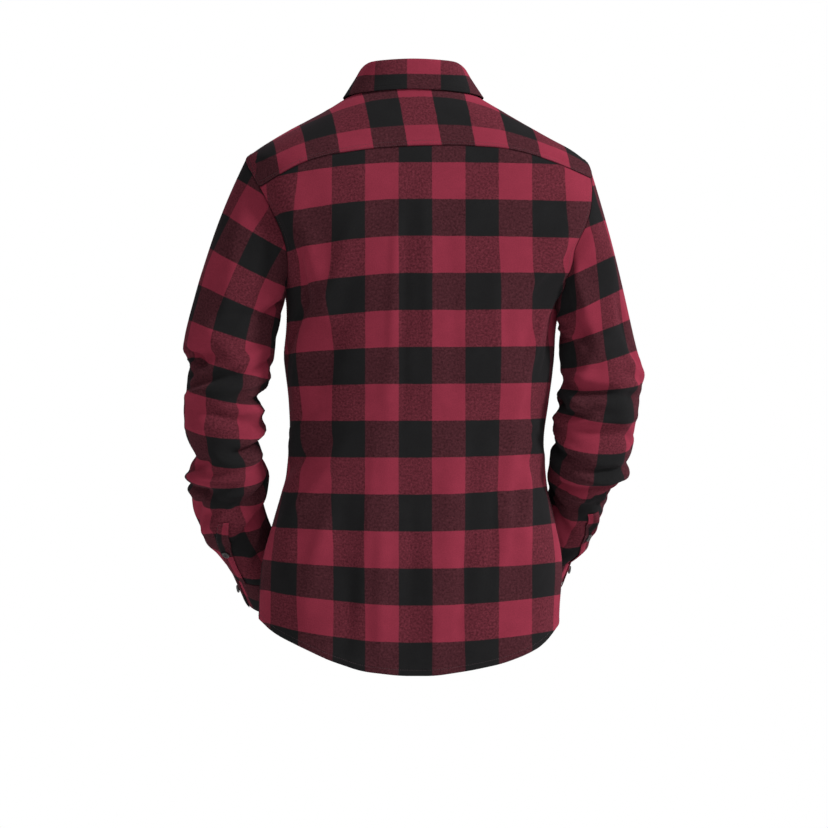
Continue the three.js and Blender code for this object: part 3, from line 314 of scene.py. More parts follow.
# Finer folds of the sleeves, the same columns as SLEEVE_FOLDS
SLEEVE_CREASES = {
    "left": [
        (100, -95, -8, 60, 10, -2.2),
        (128, -70, 12, 50, 8, 3.2),
        (146, -46, 18, 45, 7, -3.4),
        (66, -60, -10, 70, 11, 1.8),
        (28, 56, -50, 26, 5, -4.0),
        (20, 70, -66, 30, 6, 3.6),
        (38, 74, 56, 34, 6, -3.4),
        (60, 92, 74, 52, 6, -3.6),
        (66, 104, 80, 56, 7, 3.2),
        (112, 62, 58, 40, 7, 3.4),
        (128, 78, 66, 44, 6, -3.6),
        (140, 96, 74, 48, 7, 4.2),
        (150, 118, 84, 42, 5, -4.6),
        (148, 132, 96, 40, 6, 4.0),
        (118, 142, 104, 44, 6, -2.8),
        (70, 132, 96, 40, 7, -2.0),
        (62, 150, 82, 60, 8, 2.2),
        (150, 164, 80, 42, 6, 3.6),
        (146, 178, 86, 46, 5, -4.2),
        (120, 190, 96, 54, 7, 3.0),
        (92, 206, 86, 70, 6, -3.6),
        (70, 216, 76, 60, 6, 4.2),
        (34, 204, 60, 34, 6, -3.6),
        (24, 222, 70, 34, 6, 4.4),
        (54, 236, 100, 40, 6, -3.4),
        (104, 232, 80, 52, 7, 3.2),
        (132, 246, 66, 50, 6, -4.0),
        (140, 264, 70, 48, 7, 3.8),
        (86, 256, 64, 44, 7, -3.0),
        (70, 276, 52, 40, 7, 3.0),
        (36, 262, 26, 44, 7, -3.2),
        (112, 292, 50, 46, 7, -3.0),
        (122, 318, 40, 36, 7, 3.0),
        (40, 312, 24, 34, 7, 2.4),
        (232, 60, -40, 70, 9, 2.6),
        (214, 96, -58, 52, 7, -3.4),
        (228, 114, -66, 56, 7, 4.2),
        (250, 136, -74, 60, 6, -4.4),
        (266, 154, -80, 62, 7, 4.4),
        (262, 176, -86, 60, 6, -3.8),
        (280, 196, -84, 66, 8, 3.4),
        (312, 150, -60, 54, 8, 2.8),
        (318, 178, -66, 50, 7, -2.8),
        (318, 96, -24, 60, 10, 2.2),
        (296, 232, -80, 60, 7, -3.2),
        (286, 252, -74, 60, 8, 3.0),
        (236, 226, 74, 50, 7, 3.2),
        (222, 246, 66, 46, 6, -3.4),
        (330, 262, 70, 44, 7, 3.0),
        (300, 300, 40, 50, 8, 2.2),
        (240, 300, -34, 44, 8, -2.2),
        (248, -40, -14, 70, 10, 2.4),
        (286, -70, -8, 70, 12, -1.8),
    ],
    "right": [
        (104, -80, 6, 60, 9, 3.0),
        (126, -56, 14, 50, 7, -3.4),
        (60, -40, -12, 80, 12, 1.8),
        (140, -20, 28, 46, 7, 3.4),
        (36, 4, 18, 60, 9, -2.0),
        (96, 22, -34, 50, 8, 2.2),
        (24, 42, 62, 34, 8, 1.6),
        (34, 56, 72, 40, 7, -1.6),
        (98, 58, 84, 80, 8, 3.2),
        (96, 72, 84, 84, 6, -3.6),
        (60, 92, 78, 40, 7, 1.6),
        (112, 86, -76, 50, 6, 4.0),
        (140, 78, 66, 42, 6, 3.6),
        (150, 94, 80, 40, 5, -4.4),
        (146, 110, 92, 42, 6, 3.8),
        (58, 106, 88, 46, 7, 2.6),
        (92, 118, 76, 52, 7, -2.6),
        (34, 130, 60, 38, 7, -2.6),
        (140, 136, 70, 44, 6, 3.4),
        (148, 152, 84, 42, 5, -4.2),
        (112, 160, 88, 56, 7, 3.0),
        (70, 168, 82, 60, 6, -3.4),
        (60, 182, 78, 56, 6, 4.0),
        (26, 176, 66, 34, 7, 2.0),
        (22, 194, 74, 32, 6, -2.2),
        (96, 194, 92, 56, 6, -3.6),
        (124, 206, 78, 50, 6, 4.0),
        (146, 222, 72, 44, 5, -4.0),
        (70, 214, 66, 46, 7, 3.0),
        (44, 232, 50, 44, 7, -3.0),
        (104, 238, 56, 46, 7, 3.2),
        (134, 250, 60, 44, 6, -3.4),
        (74, 262, 44, 44, 7, -2.8),
        (40, 276, 30, 40, 7, 2.6),
        (110, 284, 46, 36, 7, 2.8),
        (232, 44, -40, 70, 9, 2.6),
        (214, 78, -58, 52, 7, -3.4),
        (228, 98, -66, 56, 7, 4.2),
        (250, 118, -74, 60, 6, -4.4),
        (266, 138, -80, 62, 7, 4.4),
        (262, 158, -86, 60, 6, -3.8),
        (280, 178, -84, 66, 8, 3.4),
        (312, 132, -60, 54, 8, 2.8),
        (318, 160, -66, 50, 7, -2.8),
        (318, 80, -24, 60, 10, 2.2),
        (296, 210, -80, 60, 7, -3.2),
        (286, 232, -74, 60, 8, 3.0),
        (236, 204, 74, 50, 7, 3.2),
        (222, 224, 66, 46, 6, -3.4),
        (330, 240, 70, 44, 7, 3.0),
        (300, 276, 40, 50, 8, 2.2),
        (240, 270, -34, 44, 8, -2.2),
        (248, -40, -14, 70, 10, 2.4),
        (286, -70, -8, 70, 12, -1.8),
    ],
}


def smooth(low, high, value):
    t = np.clip((np.asarray(value, float) - low) / (high - low), 0, 1)
    return t * t * (3 - 2 * t)


def mix(a, b, t):
    return a + (b - a) * t


def unit(v):
    return v / np.maximum(np.linalg.norm(v, axis=-1, keepdims=True), 1e-12)


# Smooth value of a table column at places between its rows
def spline(rows, place, column):
    col = np.array([r[column] for r in rows], float)
    last = len(rows) - 1
    at = np.clip(np.asarray(place, float), 0, last)
    i = np.minimum(np.floor(at).astype(int), last - 1)
    t = at - i
    p0, p1 = col[np.maximum(i - 1, 0)], col[i]
    p2, p3 = col[i + 1], col[np.minimum(i + 2, last)]
    m1, m2 = (p2 - p0) / 2, (p3 - p1) / 2
    t2, t3 = t * t, t * t * t
    return (2 * t3 - 3 * t2 + 1) * p1 + (t3 - 2 * t2 + t) * m1 + (3 * t2 - 2 * t3) * p2 + (t3 - t2) * m2


# Place in a table whose key column falls from row to row
def place_falling(rows, column, value):
    key = -np.array([r[column] for r in rows], float)
    return np.interp(-np.asarray(value, float), key, np.arange(len(rows)))


# Table value between its rows, with the corners between rows rounded off
def line_value(rows, value, soft=12.0):
    key = -np.array([r[0] for r in rows], float)
    col = np.array([r[1] for r in rows], float)
    value = -np.asarray(value, float)
    steps = np.linspace(-1, 1, 7) * soft
    return np.mean([np.interp(value + step, key, col) for step in steps], axis=0)


def fold_swell(folds, at, along, wrap):
    at, along = np.broadcast_arrays(np.asarray(at, float), np.asarray(along, float))
    shape = at.shape
    at, along = at.ravel(), along.ravel()
    if at.size < 3000:
        u, v, lean, long, wide, rise = (np.array(col, float)[:, None] for col in zip(*folds))
        du, dv = at[None] - u, along[None] - v
        du = du - wrap * np.round(du / wrap)
        s, c = np.sin(np.radians(lean)), np.cos(np.radians(lean))
        p, q = (du * s + dv * c) / long, (du * c - dv * s) / wide
        return (rise * np.exp(-q * q - p ** 4)).sum(0).reshape(shape)
    total = np.zeros(at.shape)
    for u, v, lean, long, wide, rise in folds:
        dv = along - v
        near = np.nonzero(np.abs(dv) < 1.45 * long + 3 * wide)[0]
        if not len(near):
            continue
        du = at[near] - u
        du = du - wrap * np.round(du / wrap)
        close = np.abs(du) < 1.45 * long + 3 * wide
        near, du = near[close], du[close]
        dv = dv[near]
        s, c = math.sin(math.radians(lean)), math.cos(math.radians(lean))
        p = (du * s + dv * c) / long
        q = (du * c - dv * s) / wide
        total[near] += rise * np.exp(-q * q - p ** 4)
    return total.reshape(shape)


ROUND_WRAP = 2 * math.pi * ARC_RADIUS
CREASE_GAIN = 1.9
TORSO_ALL = TORSO_FOLDS + [(*f[:5], f[5] * CREASE_GAIN) for f in TORSO_CREASES]


# Points of the torso skin at angles from the wearer's left and heights
def torso_point(turn, z, under=False, plain=False):
    turn, z = np.broadcast_arrays(np.asarray(turn, float), np.asarray(z, float))
    place = place_falling(TORSO, 0, z)
    c, s = np.cos(turn), np.sin(turn)
    wide = np.where(c >= 0, spline(TORSO, place, 1), spline(TORSO, place, 2))
    deep = np.where(s >= 0, spline(TORSO, place, 3), spline(TORSO, place, 4))
    power = mix(FRONT_POWER, BACK_POWER, smooth(-0.5, 0.5, s))
    total = (np.abs(c) / wide) ** power + (np.abs(s) / deep) ** power
    reach = total ** (-1 / power)
    if not plain:
        body = 1 - smooth(-130, -60, z)
        reach = reach + body * fold_swell(TORSO_ALL, turn * ARC_RADIUS, z, ROUND_WRAP)
    point = np.stack([reach * c, reach * s, z + 0 * reach], -1)
    if under:
        lap = FRONT_LAP * smooth(-50, -23, point[..., 0]) * (s < 0)
        point[..., 0] -= c * lap
        point[..., 1] -= s * lap
    return point


def torso_normal(turn, z, under=False):
    step, rise = 0.012, 2.0
    a = torso_point(turn + step, z, under) - torso_point(turn - step, z, under)
    b = torso_point(turn, z + rise, under) - torso_point(turn, z - rise, under)
    return unit(np.cross(a, b))


def bisect(low, high, above):
    low, high = np.array(low, float), np.array(high, float)
    for _ in range(27):
        mid = (low + high) / 2
        up = above(mid)
        low = np.where(up, mid, low)
        high = np.where(up, high, mid)
    return (low + high) / 2


def turn_at_x(z, x, back):
    z = np.asarray(z, float)
    sign = 1.0 if back else -1.0
    found = bisect(np.zeros(z.shape), np.full(z.shape, math.pi),
                   lambda m: torso_point(sign * m, z)[..., 0] > x)
    return sign * found


def turn_at_y(z, y, direction):
    z, y = np.broadcast_arrays(np.asarray(z, float), np.asarray(y, float))
    real = (lambda m: m) if direction > 0 else (lambda m: math.pi - m)
    found = bisect(np.full(z.shape, -math.pi / 2), np.full(z.shape, math.pi / 2),
                   lambda m: torso_point(real(m), z)[..., 1] < y)
    return real(found)


def neck_height(turn):
    lift = 0.5 - 0.5 * np.sin(turn)
    return 13 - 3 * np.cos(turn) ** 2 - 74 * lift ** 5


def armhole_spot(name, turn):
    hole = ARMHOLES[name]
    turn = np.radians(np.asarray(turn, float))
    c, s = np.cos(turn), np.sin(turn)
    z = hole["top"] + (hole["low"] - hole["top"]) * (1 - c) / 2
    y = np.where(s >= 0, hole["back"], hole["front"]) * s * (1 - 0.12 * c)
    return turn_at_y(z, y, hole["dir"]), z


def arm_turns(name):
    hole = ARMHOLES[name]
    b, f = hole["yoke_back"], hole["yoke_front"]
    return np.concatenate([
        np.linspace(0, b, ARM_YOKE, endpoint=False),
        np.linspace(b, 180, ARM_SIDE, endpoint=False),
        np.linspace(180, f, ARM_SIDE, endpoint=False),
        np.linspace(f, 360, ARM_YOKE, endpoint=False),
    ])


def sleeve_section(name, place, turn):
    rows = SLEEVES[name]
    side = ARMHOLES[name]["dir"]
    out, inn = spline(rows, place, 1), spline(rows, place, 2)
    y, deep = spline(rows, place, 3), spline(rows, place, 4)
    tilt = np.radians(spline(rows, place, 5))
    z = spline(rows, place, 0)
    c, s = np.cos(np.radians(turn)), np.sin(np.radians(turn))
    x = (out + inn) / 2 + (out - inn) / 2 * c
    return np.stack([side * x, y + deep * s * np.cos(tilt), z - deep * s * np.sin(tilt)], -1)


def lengths_of(rows):
    r = np.array(rows, float)
    mid = np.stack([(r[:, 1] + r[:, 2]) / 2, r[:, 3], r[:, 0]], -1)
    return np.concatenate([[0], np.cumsum(np.linalg.norm(np.diff(mid, axis=0), axis=1))])


SLEEVE_LENGTHS = {name: lengths_of(rows) for name, rows in SLEEVES.items()}


def sleeve_place(name, down):
    lengths = SLEEVE_LENGTHS[name]
    return np.interp(down, lengths, np.arange(len(lengths)))


HEAD_CACHE = {}


# Seam start and first full ring at each turn, worked out once for each turn
def head_ends(name, turn):
    keys = np.round(turn % 360, 6)
    found = HEAD_CACHE.setdefault(name, {})
    fresh = np.array(sorted(set(keys.tolist()) - set(found)))
    if len(fresh):
        spot = armhole_spot(name, fresh)
        ring = sleeve_section(name, np.zeros(fresh.shape), fresh)
        seam = torso_point(*spot)
        found.update({key: pair for key, pair in zip(fresh.tolist(), zip(seam, ring))})
    unique, back = np.unique(keys, return_inverse=True)
    seam = np.array([found[key][0] for key in unique.tolist()])[back.ravel()]
    ring = np.array([found[key][1] for key in unique.tolist()])[back.ravel()]
    return seam, ring


def sleeve_plain(name, share, turn):
    share, turn = np.broadcast_arrays(np.asarray(share, float), np.asarray(turn, float))
    lengths = SLEEVE_LENGTHS[name]
    arm = sleeve_section(name, sleeve_place(name, np.maximum(share, 0) * lengths[-1]), turn)
    head = share < 0
    if not head.any():
        return arm
    tv = turn[head]
    seam, ring = head_ends(name, tv)
    t = 1 + share[head]
    point = seam + (ring - seam) * t[:, None]
    c, s = np.cos(np.radians(tv)), np.sin(np.radians(tv))
    swell = np.sin(math.pi * t) * (1 - 0.35 * t)
    side = ARMHOLES[name]["dir"]
    outward = 7 if name == "left" else 4
    point[:, 0] += side * swell * outward * (0.4 + 0.6 * c)
    point[:, 1] += swell * 7 * s
    point[:, 2] += swell * 3 * np.maximum(c, 0)
    arm = arm.copy()
    arm[head] = point
    return arm


def sleeve_normal_of(point_at, name, share, turn):
    du, ds = 3.0, 0.012
    a = point_at(name, share, turn + du) - point_at(name, share, turn - du)
    low, high = np.maximum(share - ds, -1), np.minimum(share + ds, 1)
    b = point_at(name, low, turn) - point_at(name, high, turn)
    return unit(np.cross(a, b)) * ARMHOLES[name]["dir"]


def sleeve_point(name, share, turn):
    share, turn = np.broadcast_arrays(np.asarray(share, float), np.asarray(turn, float))
    point = sleeve_plain(name, share, turn)
    down = np.where(share >= 0, share * SLEEVE_LENGTHS[name][-1], share * HEAD_LENGTH)
    fade = smooth(-1, -0.75, share) * (1 - smooth(0.93, 1, share))
    folds = [(math.radians(f[0]) * SLEEVE_RADIUS, -f[1], *f[2:5], f[5] * gain)
             for group, gain in ((SLEEVE_FOLDS, 1.0), (SLEEVE_CREASES, CREASE_GAIN)) for f in group[name]]
    around = np.radians(turn % 360) * SLEEVE_RADIUS
    swell = fade * fold_swell(folds, around, -down, 2 * math.pi * SLEEVE_RADIUS)
    return point + sleeve_normal_of(sleeve_plain, name, share, turn) * swell[..., None]


def sleeve_normal(name, share, turn):
    return sleeve_normal_of(sleeve_point, name, share, turn)


def mitre(a, b):
    middle = unit(a + b)
    return middle / np.maximum(0.6, np.sum(middle * a, -1, keepdims=True))


def armhole_mitre(name, turn):
    spot = armhole_spot(name, turn)
    return mitre(torso_normal(*spot), sleeve_normal(name, np.full(np.shape(turn), -1.0), turn))


def stand_point(turn, share, under=False):
    base = torso_point(turn, neck_height(turn), under)
    front = 1 - smooth(-0.9, 0.2, np.sin(turn))
    lean = mix(STAND_LEAN, 5, front) * share
    base = base.copy()
    base[..., 0] -= np.cos(turn) * lean
    base[..., 1] -= np.sin(turn) * lean
    base[..., 2] += STAND_HEIGHT * share
    return base


def stand_normal(turn, share, under=False):
    a = stand_point(turn + 0.02, share, under) - stand_point(turn - 0.02, share, under)
    b = stand_point(turn, share + 0.1, under) - stand_point(turn, share - 0.1, under)
    return unit(np.cross(a, b))


def neck_mitre(turn, under=False):
    z = neck_height(turn)
    return mitre(torso_normal(turn, z, under), stand_normal(turn, 0.0, under))


# Edge spots: angle, height and cut direction, the direction NaN where free
def spots(turn, z, offset=None):
    turn, z = np.broadcast_arrays(np.asarray(turn, float), np.asarray(z, float))
    out = np.full(turn.shape + (5,), np.nan)
    out[..., 0], out[..., 1] = turn, z
    if offset is not None:
        out[..., 2:] = offset
    return out


# Grid of spots inside four edges
def patch(low, top, start, end, power):
    rows, cols = len(start), len(low)
    t = np.linspace(0, 1, rows)[:, None]
    s = np.linspace(0, 1, cols)[None, :]
    near, far = (1 - s) ** power, s ** power
    grid = np.full((rows, cols, 5), np.nan)
    for k in (0, 1):
        plain = mix(low[None, :, k], top[None, :, k], t)
        left = start[:, None, k] - plain[:, :1]
        right = end[:, None, k] - plain[:, -1:]
        grid[..., k] = plain + near * left + far * right
    grid[0, :, 2:] = low[:, 2:]
    grid[-1, :, 2:] = top[:, 2:]
    for edge, j in ((start, 0), (end, -1)):
        have = ~np.isnan(edge[:, 2])
        grid[have, j, 2:] = edge[have, 2:]
    return grid


def skin_of(grid, under=False):
    points = torso_point(grid[..., 0], grid[..., 1], under)
    offsets = torso_normal(grid[..., 0], grid[..., 1], under)
    have = ~np.isnan(grid[..., 2])
    offsets[have] = grid[have][:, 2:]
    return points, offsets


def hem_spot(turn):
    turn = np.asarray(turn, float)
    back = np.sin(turn) >= -1e-9
    z = np.full(turn.shape, -760.0)
    for _ in range(6):
        x = torso_point(turn, z)[..., 0]
        z = np.where(back, line_value(HEM_BACK, x), line_value(HEM_FRONT, x))
    return spots(turn, z)


def yoke_spot(turn):
    z = np.full(np.shape(turn), -90.0)
    for _ in range(8):
        z = line_value(YOKE_SEAM, torso_point(turn, z)[..., 0])
    return spots(turn, z)


def arm_spot(name, turn):
    turn = np.asarray(turn, float)
    t, z = armhole_spot(name, turn)
    return spots(t, z, armhole_mitre(name, turn))


def side_spots(name):
    turn = 0.0 if name == "left" else math.pi
    low = hem_spot(np.array([turn]))[0, 1]
    z = np.linspace(low, ARMHOLES[name]["low"], SIDE_ROWS, endpoint=False)
    return spots(turn, z)


ARM_LISTS = {name: arm_turns(name) for name in ARMHOLES}


def arm_back(name):
    return arm_spot(name, ARM_LISTS[name][ARM_YOKE:ARM_YOKE + ARM_SIDE + 1][::-1])


def arm_front(name):
    start = ARM_YOKE + ARM_SIDE
    return arm_spot(name, ARM_LISTS[name][start:start + ARM_SIDE + 1])


ends = {n: arm_spot(n, np.array([float(ARMHOLES[n]["yoke_back"])]))[0] for n in ARMHOLES}
back_top = yoke_spot(np.linspace(ends["left"][0], ends["right"][0], BACK_COLS + 1))
back_top[0], back_top[-1] = ends["left"], ends["right"]
back_low = hem_spot(np.linspace(0, math.pi, BACK_COLS + 1))
back_grid = patch(back_low, back_top,
                  np.concatenate([side_spots("left"), arm_back("left")]),
                  np.concatenate([side_spots("right"), arm_back("right")]), 1.6)

NECK_TURN = {"left": math.radians(-34), "right": math.pi + math.radians(34)}


def neck_spot(turn, under=False):
    turn = np.asarray(turn, float)
    return spots(turn, neck_height(turn), neck_mitre(turn, under))


def front_turn(z, x):
    return turn_at_x(z, x, False)


def neck_turn_at_x(x):
    turn = np.array(-math.pi / 2)
    for _ in range(8):
        turn = front_turn(neck_height(turn), x)
    return float(turn)


def lowered(turn):
    return np.where(turn > math.pi / 2, turn - 2 * math.pi, turn)


def front_seam(name):
    outer = arm_spot(name, np.array([float(ARMHOLES[name]["yoke_front"])]))[0]
    outer[0] = outer[0] - 2 * math.pi if outer[0] > math.pi else outer[0]
    turn = NECK_TURN[name]
    turn = turn - 2 * math.pi if turn > math.pi else turn
    inner = neck_spot(np.array([turn]))[0]
    t = np.linspace(0, 1, SHOULDER_ROWS + 1)
    seam = spots(mix(outer[0], inner[0], t), mix(outer[1], inner[1], t))
    seam[0], seam[-1] = outer, inner
    return seam


def front_grid(name):
    side = ARMHOLES[name]["dir"]
    under = side < 0
    band = 2 * DETAIL
    xs = np.linspace(side * BAND_HALF, -side * BAND_HALF, band + 1)
    seam = front_seam(name)
    neck_from = float(lowered(seam[-1, 0]))
    neck_band = np.array([neck_turn_at_x(x) for x in xs])
    plain = NECK_COLS - band
    neck = np.linspace(neck_from, neck_band[0], plain + 1)[1:-1]
    top = np.concatenate([seam, neck_spot(neck, under), neck_spot(neck_band, under)])
    count = len(top) - 1
    start_turn = 0.0 if side > 0 else -math.pi
    hem_turns = np.array([float(front_turn(np.array(-775.0), x)) for x in xs])
    low = hem_spot(np.concatenate([np.linspace(start_turn, hem_turns[0], count - band + 1)[:-1], hem_turns]))
    start = np.concatenate([side_spots(name), arm_front(name)])
    if side < 0:
        start[:, 0] = lowered(start[:, 0])
    rows = len(start)

    def column(k):
        z = mix(low[k, 1], top[k, 1], np.linspace(0, 1, rows))
        col = spots(front_turn(z, xs[k - count + band]), z)
        col[-1] = top[k]
        return col

    split = count - band
    grid = patch(low[:split + 1], top[:split + 1], start, column(split), 1.8)
    rest = np.stack([column(k) for k in range(split + 1, count + 1)], 1)
    return np.concatenate([grid, rest], 1)


front_grids = {name: front_grid(name) for name in ARMHOLES}

turns_l, turns_r = ARM_LISTS["left"], ARM_LISTS["right"]
yoke_outer = np.concatenate([
    arm_spot("left", turns_l[-ARM_YOKE:]), arm_spot("left", turns_l[:ARM_YOKE]), back_top,
    arm_spot("right", turns_r[:ARM_YOKE][::-1]), arm_spot("right", turns_r[-ARM_YOKE:][::-1]),
])
tail = yoke_outer[-ARM_YOKE:]
tail[:, 0] = np.where(tail[:, 0] < 0, tail[:, 0] + 2 * math.pi, tail[:, 0])
yoke_turns = np.concatenate([
    np.linspace(NECK_TURN["left"], math.radians(24), 2 * ARM_YOKE, endpoint=False),
    np.linspace(math.radians(24), math.radians(156), BACK_COLS + 1),
    np.linspace(math.radians(156), NECK_TURN["right"], 2 * ARM_YOKE + 1)[1:],
])
seam_left, seam_right = front_seam("left"), front_seam("right")
seam_right[:, 0] = np.where(seam_right[:, 0] < 0, seam_right[:, 0] + 2 * math.pi, seam_right[:, 0])
yoke_grid = patch(yoke_outer, neck_spot(yoke_turns), seam_left, seam_right, 1.5)


# Distance along each row and column of a grid of points
def run_lengths(points, axis):
    step = np.linalg.norm(np.diff(points, axis=axis), axis=-1)
    zero = np.zeros_like(np.take(step, [0], axis))
    return np.concatenate([zero, np.cumsum(step, axis)], axis)


def edge_distance(points, edges):
    best = np.full(points.shape[:2], 1e3)
    down, across = run_lengths(points, 0), run_lengths(points, 1)
    if "first" in edges:
        best = np.minimum(best, down)
    if "last" in edges:
        best = np.minimum(best, down[-1:] - down)
    if "start" in edges:
        best = np.minimum(best, across)
    if "end" in edges:
        best = np.minimum(best, across[:, -1:] - across)
    return best


# Add fine rows beside the edges so that cut edges roll over softly
def refined(count):
    t = np.arange(count, dtype=float)
    extra = np.array([0.12, 0.3])
    return np.unique(np.concatenate([t, extra, count - 1 - extra]))


def resample(array, at_rows, at_cols):
    rows = np.arange(array.shape[0])
    i = np.clip(np.floor(at_rows).astype(int), 0, len(rows) - 2)
    f = (at_rows - i).reshape(-1, 1, 1)
    a = array[i] * (1 - f) + array[i + 1] * f
    if at_cols is None:
        return a
    j = np.clip(np.floor(at_cols).astype(int), 0, array.shape[1] - 2)
    g = (at_cols - j).reshape(1, -1, 1)
    return a[:, j] * (1 - g) + a[:, j + 1] * g


def pulled(points, edges, amount=0.16):
    out = points.copy()
    if "first" in edges:
        out[0] += unit(points[1] - points[0]) * amount
    if "last" in edges:
        out[-1] += unit(points[-2] - points[-1]) * amount
    if "start" in edges:
        out[:, 0] += unit(points[:, 1] - points[:, 0]) * amount
    if "end" in edges:
        out[:, -1] += unit(points[:, -2] - points[:, -1]) * amount
    return out


SKINS = {}


# Thin shell on a grid of points, with cloth coordinates and seam distance
def shell(name, points, offsets, uv, edges=(), thick=CLOTH, wrap=False, raise_edges=(), lift=0.0,
          reach=9.0, stitched=None):
    seam = edge_distance(points, edges) if not wrap else wrap_distance(points, edges)
    sewn = stitch_distance(points, stitched or {})
    raised = edge_distance(points, raise_edges) if raise_edges else np.full(seam.shape, 1e3)
    rise = lift * (1 - smooth(reach * 0.75, reach * 1.15, raised))
    area = skin_area(points, wrap)
    points = pulled(points, edges)
    at_rows = refined(points.shape[0])
    at_cols = None if wrap else refined(points.shape[1])
    uv = resample(uv, at_rows, at_cols)
    pack = [resample(a, at_rows, at_cols)
            for a in (points, offsets, seam[..., None], sewn[..., None], rise[..., None])]
    points, offsets, seam, sewn, rise = pack
    rows, cols = points.shape[:2]
    cut = np.ones((rows, cols, 1))
    for k, share in ((0, 0.45), (1, 0.86)):
        cut[k] = np.minimum(cut[k], share)
        cut[-1 - k] = np.minimum(cut[-1 - k], share)
        if not wrap:
            cut[:, k] = np.minimum(cut[:, k], share)
            cut[:, -1 - k] = np.minimum(cut[:, -1 - k], share)
    outer = points + offsets * (thick / 2 * cut + rise)
    inner = points - offsets * (thick / 2 * cut)
    verts = np.concatenate([outer.reshape(-1, 3), inner.reshape(-1, 3)]) / 1000
    n = rows * cols
    across = cols if wrap else cols - 1
    i, j = np.meshgrid(np.arange(rows - 1), np.arange(across), indexing="ij")
    wide = uv.shape[1]

    def corners(count, close):
        k = (j + 1) % cols if close else j + 1
        return np.stack([i * count + j, i * count + k, (i + 1) * count + k, (i + 1) * count + j], -1)

    top = corners(cols, wrap).reshape(-1, 4)
    top_uv = corners(wide, False).reshape(-1, 4)
    faces, uvs = [top, top[:, ::-1] + n], [top_uv, top_uv[:, ::-1]]

    def rim(line, uv_line, flip):
        p, q = line[:-1], line[1:]
        a, b = uv_line[:-1], uv_line[1:]
        face, coord = np.stack([q, p, p + n, q + n], -1), np.stack([b, a, a, b], -1)
        faces.append(face[:, ::-1] if flip else face)
        uvs.append(coord[:, ::-1] if flip else coord)

    index = np.arange(n).reshape(rows, cols)
    uv_index = np.arange(rows * wide).reshape(rows, wide)
    if wrap:
        index = np.concatenate([index, index[:, :1]], 1)
    rim(index[0], uv_index[0], False)
    rim(index[-1], uv_index[-1], True)
    if not wrap:
        rim(index[:, 0], uv_index[:, 0], True)
        rim(index[:, -1], uv_index[:, -1], False)
    faces, uvs = np.concatenate(faces), np.concatenate(uvs)
    if signed_volume(verts, faces) < 0:
        faces, uvs = faces[:, ::-1], uvs[:, ::-1]
    mesh = bpy.data.meshes.new(name)
    mesh.from_pydata(verts.tolist(), [], faces.tolist())
    layer = mesh.uv_layers.new(name="cloth")
    layer.data.foreach_set("uv", (uv.reshape(-1, 2)[uvs.ravel()] / 1000).ravel())
    for label, distance in (("seam", seam), ("stitch", sewn)):
        attribute = mesh.attributes.new(label, "FLOAT", "POINT")
        both = np.concatenate([distance.ravel(), distance.ravel()]) / 1000
        attribute.data.foreach_set("value", both.astype(np.float32))
    mesh.polygons.foreach_set("use_smooth", np.ones(len(mesh.polygons), bool))
    mesh.update()
    obj = bpy.data.objects.new(name, mesh)
    bpy.context.scene.collection.objects.link(obj)
    SKINS[name] = dict(obj=obj, outer=outer, offsets=offsets, points=points, area=area,
                       stitched=stitched or {})
    return obj


# Signed distance to the nearest stitched line, positive on the inner side
def stitch_distance(points, stitched):
    best = np.full(points.shape[:2], 1e3)
    for edge, insets in stitched.items():
        for inset in insets:
            away = edge_distance(points, (edge,)) - inset
            best = np.where(np.abs(away) < np.abs(best), away, best)
    return best


def wrap_distance(points, edges):
    best = np.full(points.shape[:2], 1e3)
    down = run_lengths(points, 0)
    if "first" in edges:
        best = np.minimum(best, down)
    if "last" in edges:
        best = np.minimum(best, down[-1:] - down)
    loop = run_lengths(np.concatenate([points, points[:, :1]], 1), 1)
    best = np.minimum(best, loop[:, :-1])
    return np.minimum(best, loop[:, -1:] - loop[:, :-1])


def signed_volume(verts, faces):
    a, b, c, d = (verts[faces[:, k]] for k in range(4))
    one = np.sum(a * np.cross(b, c), -1)
    two = np.sum(a * np.cross(c, d), -1)
    return float((one + two).sum())


def skin_area(points, wrap):
    p = np.concatenate([points, points[:, :1]], 1) if wrap else points
    a = np.cross(p[:-1, 1:] - p[:-1, :-1], p[1:, :-1] - p[:-1, :-1])
    b = np.cross(p[1:, :-1] - p[1:, 1:], p[:-1, 1:] - p[1:, 1:])
    return float((np.linalg.norm(a, axis=-1) + np.linalg.norm(b, axis=-1)).sum() / 2e6)


# Check squares: width across and height along; red lies in the first of each pair
CHECK_W = 46.2
CHECK_H = 50.1


# Cloth coordinates of a torso grid: across from the centre line, and down
def torso_uv(grid, droop):
    turn, z = grid[..., 0], grid[..., 1]
    back = np.mean(np.sin(turn)) > 0
    centre = math.pi / 2 if back else -math.pi / 2
    steps = np.linspace(0, 1, 33)
    at = centre + (turn[..., None] - centre) * steps
    line = torso_point(at, z[..., None], plain=True)
    step = np.diff(line, axis=-2)
    full = np.linalg.norm(step, axis=-1)
    flat = np.abs(step[..., 0]) * 1.02
    x = np.abs(line[..., 1:, 0] + line[..., :-1, 0]) / 2
    place = place_falling(TORSO, 0, z)
    side = np.where(np.cos(turn) > 0, spline(TORSO, place, 1), spline(TORSO, place, 2))
    share = smooth(0.74, 0.97, x / side[..., None])
    arc = mix(flat, full, share).sum(-1)
    u = np.where(turn > centre, 1, -1) * arc * (1 if back else -1)
    x_now = np.abs(torso_point(turn, z, plain=True)[..., 0])
    lean = np.clip(x_now / 160, 0, 1.25) ** 2
    rows = np.array(droop, float)
    left = np.interp(-z, -rows[:, 0], rows[:, 1])
    right = np.interp(-z, -rows[:, 0], rows[:, 2])
    drop = np.where(np.cos(turn) > 0, left, right) * lean
    return np.stack([u, -z + drop], -1)


